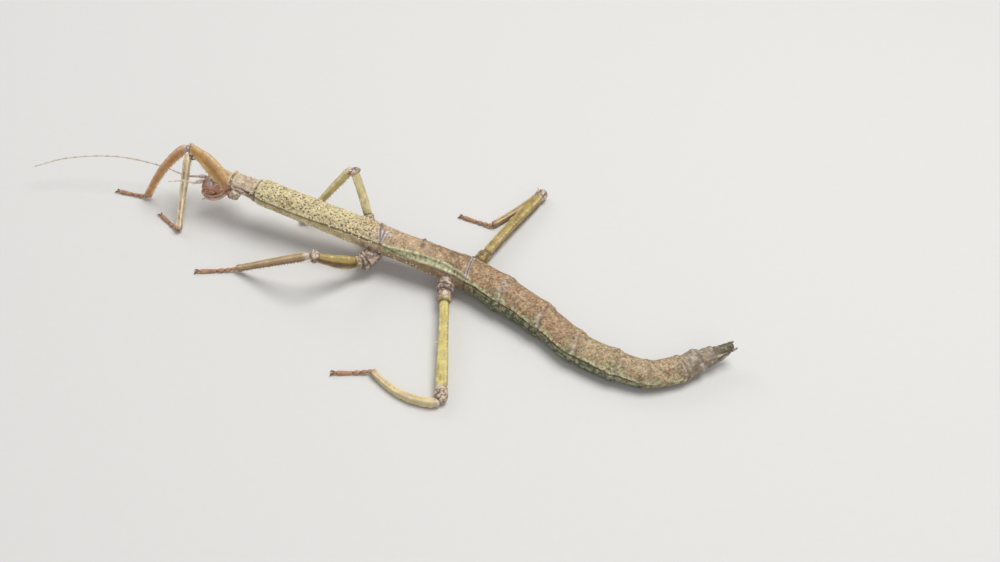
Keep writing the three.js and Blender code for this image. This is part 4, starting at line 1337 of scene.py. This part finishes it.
class Leg:
    """The places and curves of one leg."""

    def __init__(self, name):
        self.name = name
        self.kind, side = name.split("_")
        self.side = 1 if side == "left" else -1
        self.size, self.stance = LEGS[self.kind], STANCE[name]
        size, stance = self.size, self.stance
        self.hip = trunk_arc(size["back"]) + [stance["ahead"], self.side * size["side"],
                                               -size["drop"] - stance["lower"]]
        self.knee = self.hip + direction(stance["femur"], stance["rise"]) * size["femur"]
        self.shin = size["tibia"] - stance["shorter"]
        fall = math.degrees(math.asin((ANKLE_HEIGHT - self.knee[2]) / self.shin))
        self.ankle = self.knee + direction(stance["tibia"], fall) * self.shin
        self.toe = self.ankle + direction(stance["tarsus"], 0.0) * size["tarsus"]
        self.toe[2] = TOE_HEIGHT
        self.axis = unit(self.knee - self.hip)
        self.shin_axis = unit(self.ankle - self.knee)

    def coxa_curve(self):
        outward = direction(self.stance["femur"], min(self.stance["rise"], 10.0))
        back, inward, up = self.size["coxa_root"]
        root = self.hip - outward * 2.6 + [-self.stance["ahead"] - back, -self.side * inward, up]
        middle = mix(self.hip, root, self.size["coxa_bend"]) + UP * 0.2
        # The end runs on into the thigh, so that no gap shows between them.
        into = self.size["start"] * 0.5
        return quadratic(root, middle, self.hip + outward * (self.size["coxa_end"] + into))

    def femur_curve(self):
        start = self.hip + self.axis * self.size["start"]
        bend = mix(start, self.knee, 0.42) + np.array([0, self.side, 0]) * self.stance["bow"] * 2
        return quadratic(start, bend + UP * self.stance["arch"] * 2, self.knee)

    def femur_hint(self):
        flat = unit(np.array([-self.axis[1], self.axis[0], 0.0]))
        flat = turn_about(flat, self.axis, self.side * self.size["tilt"])
        return np.cross(self.axis, flat)

    def tibia_curve(self):
        start = self.knee + self.shin_axis * self.size["knee"] * 0.1
        end = self.ankle - self.shin_axis * 0.1
        flat = direction(self.stance["tibia"] + 90, 0)
        front = np.cross(self.shin_axis, flat)
        bend = mix(start, end, 0.42) + flat * self.stance["sag"] * 2 + front * self.stance["crook"] * 2
        return quadratic(start, bend, end)

    def tibia_hint(self):
        return np.cross(self.shin_axis, direction(self.stance["tibia"] + 90, 0))

    def foot_curve(self):
        axis = unit((self.toe - self.ankle) * [1, 1, 0])
        bend = mix(self.ankle, self.toe, 0.3)
        bend[2] = TOE_HEIGHT
        return quadratic(self.ankle - axis * 0.3, bend, self.toe)


def squareness(turn):
    """How far a rounded square reaches around its middle, where a circle reaches 1."""
    return (np.abs(np.cos(turn)) ** 3 + np.abs(np.sin(turn)) ** 3) ** (-1 / 3)


def femur_half(size, t):
    """Half width and half height of a thigh, from its knob to its round knee."""
    knob = size["knob_length"] / size["femur"]
    root = 1 - smooth(t, knob * 0.8, knob * 1.1)
    ball = smooth(t, size["flare"], 0.93)
    body = mix(size["base"], size["wide"], smooth(t, knob, size["full"]))
    high = mix(body, size["knee_high"], smooth(t, size["full"] + 0.05, 0.9))
    blunt = mix(0.8, 1, smooth(t, 0, knob * 0.35)) / 2
    return (mix(mix(size["thin"], size["knob"], root), size["knee"] * 2, ball) * blunt,
            mix(mix(high, size["knob"], root), size["knee"] * 2, ball) * blunt)


def shin_half(size, t):
    """Half width and half height of a shin."""
    root = mix(0.8, 1, smooth(t, 0, 0.12))
    taper = mix(1, 0.78, smooth(t, 0.1, 1)) * root * (1 + 0.16 * smooth(t, 0.9, 0.97)) / 2
    return size["shin_thin"] * taper, size["shin"] * taper


# Colours of each leg: upper faces, lower faces, core stripe, shin, shin's stripe. Peat on the lower faces of
# the left middle and right hind legs is painted shade.
LEG_PAINT = {
    "fore_left": ("honey", "honey", "amber", "rust", "amber"),
    "fore_right": ("honey", "honey", "amber", "cream", "umber"),
    "mid_left": ("reed", "peat", "reed", "tan", "umber"),
    "mid_right": ("straw", "lime", "lime", "straw", "lime"),
    "hind_left": ("lime", "lime", "reed", "straw", "honey"),
    "hind_right": ("reed", "peat", "peat", "tan", "umber"),
}


EDGES = (48, 132, 228, 312)     # degrees around a leg, of the four edges of its squared section
LOWER_EDGES = (232, 308)        # those that carry fine teeth
RING_STEP = 0.28                # mm between the rings of a thigh's or shin's skin


def leg_skin(leg, tooth):
    """Meshes of one leg's hip, thigh, shin and foot."""
    size = leg.size
    upper, lower, core, shin, stripe = (paint_of(name) for name in LEG_PAINT[leg.name])
    seed = 50 + list(STANCE).index(leg.name)
    knob = size["knob_length"] / size["femur"]

    def edges(turn, sharp=0.1):
        """1 along the four edges of a squared leg."""
        return sum(np.exp(-((1 - np.cos(turn - math.radians(a))) / (2 * sharp**2))) for a in EDGES)

    def nicks(long, turn, number):
        """Uneven teeth along the edges."""
        spots = grid(long, 3 * np.sign(np.cos(turn)), 3 * np.sign(np.sin(turn)))
        return smooth(grain(spots, 0.75, seed + number, 1), 0.05, 0.55)

    def coxa_size(t, turn):
        half = size["coxa"] * mix(0.9, 1, np.sin(np.pi * t)) * mix(1, 0.8, smooth(t, 0.75, 1))
        return half, half

    def coxa_relief(t, turn, points):
        plates = creases(points, 1.5, seed, 2)
        ring = bell(t, 0.62, 0.035) + bell(t, 0.86, 0.03)
        return 0.16 * grain(points, 1.6, seed + 1, 2) - 0.2 * plates - 0.3 * ring

    def coxa_paint(t, turn, points):
        pale = leg.kind == "fore"
        hidden = leg.name == "hind_right"
        ground, patch = ("shell", "cream") if pale else ("umber", "reed") if hidden else ("hip", "shell")
        return layered(
            flat(ground, points),
            (smooth(grain(points, 1.2, seed + 2, 2), -0.3, 0.2) * 0.8, patch),
            (creases(points, 1.5, seed, 2) * (0.4 if pale else 0.7), "pit"),
            ((0.3 if pale else 0.6) * (bell(t, 0.62, 0.04) + bell(t, 0.86, 0.03)), "pit"),
        )

    def femur_size(t, turn):
        wide, high = femur_half(size, t)
        squared = 0.7 * smooth(t, knob, knob + 0.1) * (1 - smooth(t, 0.84, 0.92))
        square = mix(1.0, squareness(turn), squared)
        return wide * square, high * square

    def femur_relief(t, turn, points):
        long = t * size["femur"]
        edge = edges(turn) * smooth(t, knob, knob + 0.06) * (1 - smooth(t, 0.88, 0.93))
        bite = nicks(long, turn, 15)
        knee = smooth(t, 0.9, 0.95)
        lobes = 0.3 * bell(np.degrees(turn) % 180, 0, 30) + 0.3 * bell(np.degrees(turn) % 180, 180, 30)
        ring = bell(t, knob * 1.02, 0.012) + 0.6 * bell(t, knob * 0.55, 0.012)
        return (edge * (0.1 + tooth * bite) + knee * (lobes + 0.26 * grain(points, 1.0, seed, 2))
                - 0.28 * ring + 0.03 * grain(points, 0.8, seed + 3, 2) - 0.22 * bell(t, 0.885, 0.01))

    def femur_paint(t, turn, points):
        long = t * size["femur"]
        fore = leg.kind == "fore"
        bite = edges(turn) * (0.25 + 0.5 * nicks(long, turn, 15))
        streaks = grid(long * 0.22, np.cos(turn) * 2, np.sin(turn) * 2)
        pale_root = knob * (5.0 if leg.name == "fore_right" else 2.6 if fore else 1.15)
        base = 1 - smooth(t, knob * 0.6, pale_root)
        rooted = {"fore_left": "face", "fore_right": "hip", "hind_right": "reed"}.get(leg.name, "shell")
        knee = smooth(t, 0.875, 0.91)
        return layered(
            # Lower faces take the lower colour. On the left middle and right hind thighs this darker peat is
            # painted shade.
            mix(lower, upper, smooth(np.sin(turn), -0.12, 0.12)[..., None]) + 0 * points,
            (smooth(grain(streaks, 0.8, seed + 4, 2), 0.0, 0.5) * 0.45, core),
            (bell(np.sin(turn), 0.0, 0.42) * 0.85 * fore, core),
            (smooth(-grain(streaks, 0.9, seed + 5, 2), 0.15, 0.5) * 0.3, "peat"),
            (bite, "cream"),
            (base * 0.85, rooted),
            (creases(points, 1.2, seed + 6) * base * (0.3 if fore else 0.7), "pit"),
            (knee * 0.8, "shell"),
            (smooth(grain(points, 1.3, seed + 6, 2), 0.0, 0.4) * knee * 0.6, "hip"),
            (creases(points, 1.1, seed + 7) * knee * 0.9, "pit"),
            (0.7 * bell(t, knob * 1.02, 0.012), "pit"),
        )

    def tibia_size(t, turn):
        wide, high = shin_half(size, t)
        return wide * squareness(turn), high * squareness(turn)

    def tibia_relief(t, turn, points):
        long = t * leg.shin
        bite = nicks(long, turn, 16)
        edge = edges(turn) * smooth(t, 0.06, 0.12) * (1 - smooth(t, 0.93, 0.97))
        channel = bell(np.cos(2 * turn), 1, 0.4) + bell(np.cos(2 * turn), -1, 0.4)
        return edge * (0.08 + 0.8 * tooth * bite) - 0.07 * channel + 0.03 * grain(points, 0.8, seed + 8, 2)

    def tibia_paint(t, turn, points):
        long = t * leg.shin
        # Painted shade: on the left middle and right hind shins, the lower faces are darkened with the lower
        # colour and their pale edges are dimmed.
        under = smooth(-np.sin(turn), -0.1, 0.3) * (leg.name in ("mid_left", "hind_right"))
        dots = grid(long * 0.5, np.cos(turn), np.sin(turn))
        middle = bell(np.cos(2 * turn), 1, 0.45) + bell(np.cos(2 * turn), -1, 0.45)
        return layered(
            flat(shin, points),
            (0.75 * under, lower),
            (middle * (0.35 + 0.6 * smooth(grain(dots, 0.7, seed + 9, 2), -0.1, 0.3)), stripe),
            (edges(turn, 0.14) * (0.45 + 0.4 * nicks(long, turn, 16)) * (1 - 0.7 * under), "cream"),
            ((1 - smooth(t, 0.03, 0.09)) * 0.8, "shell"),
            (smooth(t, 0.93, 0.99) * 0.7, "brick"),
        )

    def foot_seams(t, sharpness):
        return np.clip(np.cos(2 * np.pi * (t * FOOT_JOINTS - 0.12)), 0, 1) ** sharpness * (t < 0.72)

    def foot_size(t, turn):
        last = smooth(t, 0.66, 0.95)
        swell = 0.84 + 0.16 * np.cos(2 * np.pi * (t * FOOT_JOINTS - 0.62))
        half = FOOT_RADIUS * np.where(t < 0.7, swell, mix(0.8, 1.06, last))
        half = half * mix(0.8, 1, smooth(t, 0, 0.06))
        return half, half

    def foot_relief(t, turn, points):
        return -0.12 * foot_seams(t, 6) + 0.025 * grain(points, 0.5, seed + 11, 2)

    def foot_paint(t, turn, points):
        return layered(
            flat("brick", points),
            (smooth(grain(points, 0.7, seed + 12, 2), -0.3, 0.3) * 0.7, "tan"),
            (foot_seams(t, 4) * 0.7, "claw"),
            (smooth(-np.sin(turn), 0.2, 0.9) * 0.6, "honey"),
        )

    knee_round = size["knee"] * 1.1 / size["femur"]
    return [
        limb(44, 48, leg.coxa_curve(), coxa_size, coxa_paint, 0.4,
             relief=coxa_relief, ends=(0.1, 0.22), floor=0.2),
        limb(int(size["femur"] / RING_STEP), 48, leg.femur_curve(), femur_size, femur_paint, 0.55,
             hint=leg.femur_hint(), relief=femur_relief, ends=(0.02, knee_round), floor=0.3),
        limb(int(leg.shin / RING_STEP), 40, leg.tibia_curve(), tibia_size, tibia_paint, 0.5,
             hint=leg.tibia_hint(), relief=tibia_relief, ends=(0.03, 0.02), floor=0.2),
        limb(70, 24, leg.foot_curve(), foot_size, foot_paint, 0.4,
             relief=foot_relief, ends=(0.03, 0.05), floor=0.0),
    ]


def build_legs(scene):
    tooth = millimetres(scene.insect_sizes.tooth_height)
    for name in STANCE:
        leg = Leg(name)
        piece = joined(f"{name}_leg_skin", leg_skin(leg, tooth), finish("leg"))
        settle(piece, f"{leg.kind}_thigh",
               *[f"{name}_{part}" for part in ("coxa", "femur", "tibia", "tarsus")])


PAD_RADII = (1.15, 0.62, 0.5)
CLAW_SPLAY = 24


def build_claws(scene):
    """Two hooked claws on each foot, with a soft pad between them."""
    reach = millimetres(scene.insect_sizes.claw_length)
    thick = millimetres(scene.insect_sizes.claw_thickness)
    for name in STANCE:
        leg = Leg(name)
        axis = unit((leg.toe - leg.ankle) * [1, 1, 0])
        heading = math.degrees(math.atan2(axis[1], axis[0]))
        root = leg.toe - axis * 0.2
        root[2] = FOOT_RADIUS
        pieces = []
        for side in (1, -1):
            way = direction(heading + side * CLAW_SPLAY, 0)
            top = root + way * reach * 0.6 + UP * 0.75
            tip = root + way * reach
            tip[2] = 0.2

            def claw_size(t, turn):
                half = mix(thick, 0.3, t) / 2
                return half, half * (1 + 0.1 * np.cos(turn))

            def claw_paint(t, turn, points):
                return cover(flat("brick", points), smooth(t, 0.1, 0.6), "claw")

            pieces.append(limb(18, 10, quadratic(root, top, tip), claw_size, claw_paint, 0.0,
                               ends=(0.05, 0.14), floor=0.0))
        middle = root + axis * 0.8
        middle[2] = 0.52
        pieces.append(blob(middle, basis(axis), PAD_RADII, paint_of("honey"), 0.1,
                           rows=14, lumps=0.05, seed=3))
        settle(joined(f"{name}_claw_pair", pieces, finish("claw")), "claw", f"{name}_claws")


# leg, share of the thigh's length, degrees around it, length
SPINES = (
    ("hind_left", 0.53, 180, 1.6), ("hind_left", 0.96, 250, 1.3),
    ("hind_left", 0.3, 20, 0.8), ("hind_left", 0.7, 190, 0.9),
    ("mid_left", 0.97, 90, 1.2), ("mid_left", 0.97, 270, 1.3), ("mid_left", 0.9, 120, 0.8),
    ("mid_right", 0.22, 120, 1.2), ("mid_right", 0.96, 60, 1.2), ("mid_right", 0.96, 140, 1.2),
    ("hind_right", 0.95, 60, 1.6), ("hind_right", 0.93, 190, 1.2), ("hind_right", 0.3, 100, 0.8),
    ("fore_left", 0.8, 270, 1.6), ("fore_left", 0.96, 90, 0.8), ("fore_right", 0.96, 90, 0.8),
)


def beside(curve, hint, share):
    """Point, forward, left and up axes at a share of a curve."""
    point, tangent = curve
    forward = tangent(share)
    left = unit(np.cross(hint, forward))
    return point(share), forward, left, np.cross(forward, left)


def build_spines(scene):
    """The larger spines of the thighs and knees, and the fine teeth of the legs."""
    pieces = []
    cream = paint_of("cream")
    for name, share, degrees, reach in SPINES:
        leg = Leg(name)
        middle, forward, left, up = beside(leg.femur_curve(), leg.femur_hint(), share)
        turn = math.radians(degrees)
        outward = left * math.cos(turn) + up * math.sin(turn)
        half = mix(leg.size["thin"], leg.size["knee_high"], abs(math.sin(turn))) / 2
        root = middle + outward * (half - 0.5)
        tip = root + outward * (reach + 0.4) + forward * 0.3
        pieces.append(spike(root, tip, 0.75, cream, sides=10))
    settle(joined("leg_spines", pieces, finish("granule")), "hind_thigh")

    # The fine teeth along the lower edges of thighs and shins.
    rng = np.random.default_rng(8)
    height = millimetres(scene.insect_sizes.tooth_height)
    teeth = []
    for name in STANCE:
        leg = Leg(name)
        paint = mix(cream, paint_of(LEG_PAINT[name][0]), 0.5)
        beams = ((leg.femur_curve(), leg.femur_hint(), leg.size["femur"], (0.16, 0.84), femur_half),
                 (leg.tibia_curve(), leg.tibia_hint(), leg.shin, (0.1, 0.92), shin_half))
        for curve, hint, reach, (first, last), halves in beams:
            for turn in map(math.radians, LOWER_EDGES):
                share = first
                while share < last:
                    middle, forward, left, up = beside(curve, hint, share)
                    wide, high = halves(leg.size, share)
                    edge = (left * math.cos(turn) * wide + up * math.sin(turn) * high) * 1.22
                    root = middle + edge * 0.9
                    tip = root + unit(edge) * (height * rng.uniform(0.8, 2.0) + 0.3) + forward * 0.15
                    teeth.append(spike(root, tip, rng.uniform(0.4, 0.55), paint, sides=5))
                    share += rng.uniform(1.0, 1.9) / reach
    settle(joined("leg_teeth", teeth, finish("granule")), "shin")


# ---------------------------------------------------------------- tail


def build_tail():
    """The two cerci and the egg plate below them."""
    end = trunk_point(1.0)
    back = trunk_tangent(1.0)
    left = unit(np.cross(UP, -back))
    up = np.cross(-back, left)

    def leaf_size(t, turn):
        return 0.3, 0.65 * mix(1, 0.45, t * t)

    def leaf_paint(t, turn, points):
        return cover(flat("tail", points), smooth(grain(points, 0.6, 61, 2), 0.0, 0.4), "ash")

    for name, side in SIDES:
        root = end - back * 1.6 + left * side * 1.6 - up * 0.4
        tip = root + back * 2.3 - left * side * 0.2
        leaf = limb(20, 16, quadratic(root, (root + tip) / 2, tip), leaf_size, leaf_paint, 0.3,
                    ends=(0.2, 0.3), floor=0.1)
        settle(joined(f"cercus_{name}_leaf", [leaf], finish("trunk")), "tail", f"cercus_{name}")

    start = trunk_point(10.35 / SEGMENTS) - up * 2.4
    middle = trunk_point(11.6 / SEGMENTS) - up * 3.4
    tip = end - up * 1.9 - back * 0.6

    def plate_size(t, turn):
        keel = np.sin(np.pi * mix(0.12, 0.88, t))
        return 2.1 * keel, 1.25 * keel * (1 + 0.1 * bell(np.sin(turn), -1, 0.2))

    def plate_relief(t, turn, points):
        return 0.08 * grain(points, 0.8, 63, 2) - 0.14 * creases(points, 1.6, 64)

    def plate_paint(t, turn, points):
        return layered(
            flat("ash", points),
            (smooth(grain(points, 1.2, 65, 2), -0.1, 0.4), "tail"),
            (0.7 * bell(np.sin(turn), 0.35, 0.2), "shell"),
        )

    plate = limb(60, 40, quadratic(start, middle, tip), plate_size, plate_paint, 0.4,
                 relief=plate_relief, ends=(0.12, 0.12), floor=0.2)
    settle(joined("egg_plate_keel", [plate], finish("trunk")), "tail", "egg_plate")


# ---------------------------------------------------------------- stage


FLOOR_HALF, FLOOR_BELOW = 4.0, 0.01 * MM    # metres
LENS, SENSOR = 43.1, 36.0
CAMERA_PLACE = np.array([-169.3, 254.1, 295.7])
CAMERA_AIM = (0.2778, -0.6367, -0.7193)
SKY_COLOUR, SKY_STRENGTH = (0.93, 0.95, 1.0, 1.0), 0.4
# name, place in metres, width and power
LAMPS = (
    ("key", (-0.25, -0.2, 0.95), 0.6, 7.6),
    ("fill", (-0.55, 0.75, 0.55), 0.9, 1.6),
    ("rim", (0.7, -0.3, 0.5), 0.5, 1.4),
)


def build_stage(scene):
    """A pale floor, soft studio light and the camera."""
    colours = scene.insect_colours
    bm = bmesh.new()
    bmesh.ops.create_grid(bm, x_segments=8, y_segments=8, size=FLOOR_HALF)
    bmesh.ops.translate(bm, verts=bm.verts, vec=(0, 0, -FLOOR_BELOW))
    mesh = bpy.data.meshes.new("studio_floor")
    bm.to_mesh(mesh)
    bm.free()
    shade = Finish("floor_paper", 0.85)
    red, green, blue = (((c + 0.055) / 1.055) ** 2.4 for c in colours.floor)
    grainy = shade.between(shade.noise(3.0, 3.0), 0.2, 0.8, 0.0, 0.06)
    colour = shade.blend(grainy, (red, green, blue, 1), (red * 0.8, green * 0.8, blue * 0.8, 1))
    mesh.materials.append(shade.close(colour, [(shade.noise(1.0, 2.0), 0.02)], shine=0.05))
    floor = bpy.data.objects.new("studio_floor", mesh)
    scene.collection.objects.link(floor)

    camera = bpy.data.cameras.new("camera")
    camera.lens = LENS
    camera.sensor_width = SENSOR
    camera.clip_start = 0.01
    eye = bpy.data.objects.new("camera", camera)
    eye.location = Vector((CAMERA_PLACE + CENTRE) * MM)
    eye.rotation_euler = Vector(CAMERA_AIM).to_track_quat("-Z", "Y").to_euler()
    scene.collection.objects.link(eye)
    scene.camera = eye

    for name, place, size, power in LAMPS:
        lamp = bpy.data.lights.new(name, "AREA")
        lamp.shape = "DISK"
        lamp.size = size
        lamp.energy = power
        light = bpy.data.objects.new(name, lamp)
        light.location = place
        light.rotation_euler = (-Vector(place)).to_track_quat("-Z", "Y").to_euler()
        scene.collection.objects.link(light)
    world = bpy.data.worlds.new("studio")
    world.use_nodes = True
    sky = world.node_tree.nodes["Background"].inputs
    sky["Color"].default_value, sky["Strength"].default_value = SKY_COLOUR, SKY_STRENGTH
    scene.world = world
    scene.view_settings.view_transform = "Standard"


# ---------------------------------------------------------------- operators and panel


class INSECT_OT_trunk(bpy.types.Operator):
    """Build the skin of the thorax and abdomen"""

    bl_idname = "insect.trunk"
    bl_label = "Trunk Skin"

    def execute(self, context):
        build_trunk(context.scene)
        return {"FINISHED"}


class INSECT_OT_granules(bpy.types.Operator):
    """Build the beads that stand on the trunk"""

    bl_idname = "insect.granules"
    bl_label = "Granules"

    def execute(self, context):
        build_granules(context.scene)
        return {"FINISHED"}


class INSECT_OT_head(bpy.types.Operator):
    """Build the skin of the head and the parts of its mouth"""

    bl_idname = "insect.head"
    bl_label = "Head"

    def execute(self, context):
        build_head()
        build_mouthparts()
        return {"FINISHED"}


class INSECT_OT_eyes(bpy.types.Operator):
    """Build both eyes"""

    bl_idname = "insect.eyes"
    bl_label = "Eyes"

    def execute(self, context):
        build_eyes(context.scene)
        return {"FINISHED"}


class INSECT_OT_antennae(bpy.types.Operator):
    """Build both feelers"""

    bl_idname = "insect.antennae"
    bl_label = "Feelers"

    def execute(self, context):
        build_antennae()
        return {"FINISHED"}


class INSECT_OT_legs(bpy.types.Operator):
    """Build the six leg skins"""

    bl_idname = "insect.legs"
    bl_label = "Leg Skins"

    def execute(self, context):
        build_legs(context.scene)
        return {"FINISHED"}


class INSECT_OT_claws(bpy.types.Operator):
    """Build the claws and foot pads"""

    bl_idname = "insect.claws"
    bl_label = "Claws"

    def execute(self, context):
        build_claws(context.scene)
        return {"FINISHED"}


class INSECT_OT_spines(bpy.types.Operator):
    """Build the larger spines of the legs"""

    bl_idname = "insect.spines"
    bl_label = "Spines"

    def execute(self, context):
        build_spines(context.scene)
        return {"FINISHED"}


class INSECT_OT_tail(bpy.types.Operator):
    """Build the cerci and the egg plate"""

    bl_idname = "insect.tail"
    bl_label = "Tail"

    def execute(self, context):
        build_tail()
        return {"FINISHED"}


class INSECT_OT_stage(bpy.types.Operator):
    """Build the floor, the lights and the camera"""

    bl_idname = "insect.stage"
    bl_label = "Stage"

    def execute(self, context):
        build_stage(context.scene)
        return {"FINISHED"}


OPERATORS = (
    INSECT_OT_trunk, INSECT_OT_granules, INSECT_OT_head, INSECT_OT_eyes, INSECT_OT_antennae,
    INSECT_OT_legs, INSECT_OT_claws, INSECT_OT_spines, INSECT_OT_tail, INSECT_OT_stage,
)


class INSECT_PT_builder(bpy.types.Panel):
    """Lists the pieces, sizes and colours"""

    bl_label = "Stick Insect"
    bl_idname = "INSECT_PT_builder"
    bl_space_type = "VIEW_3D"
    bl_region_type = "UI"
    bl_category = "Insect"

    def draw(self, context):
        for operator in OPERATORS:
            self.layout.operator(operator.bl_idname)
        for group in (context.scene.insect_sizes, context.scene.insect_colours):
            box = self.layout.box()
            for key in group.__annotations__:
                box.prop(group, key)


CLASSES += [*OPERATORS, INSECT_PT_builder]


def register():
    for cls in CLASSES:
        bpy.utils.register_class(cls)
    bpy.types.Scene.insect_sizes = PointerProperty(type=InsectSizes)
    bpy.types.Scene.insect_colours = PointerProperty(type=InsectColours)


def unregister():
    del bpy.types.Scene.insect_colours
    del bpy.types.Scene.insect_sizes
    for cls in reversed(CLASSES):
        bpy.utils.unregister_class(cls)


def main():
    register()
    for operator in OPERATORS:
        group, name = operator.bl_idname.split(".")
        getattr(getattr(bpy.ops, group), name)()


if __name__ == "__main__":
    main()
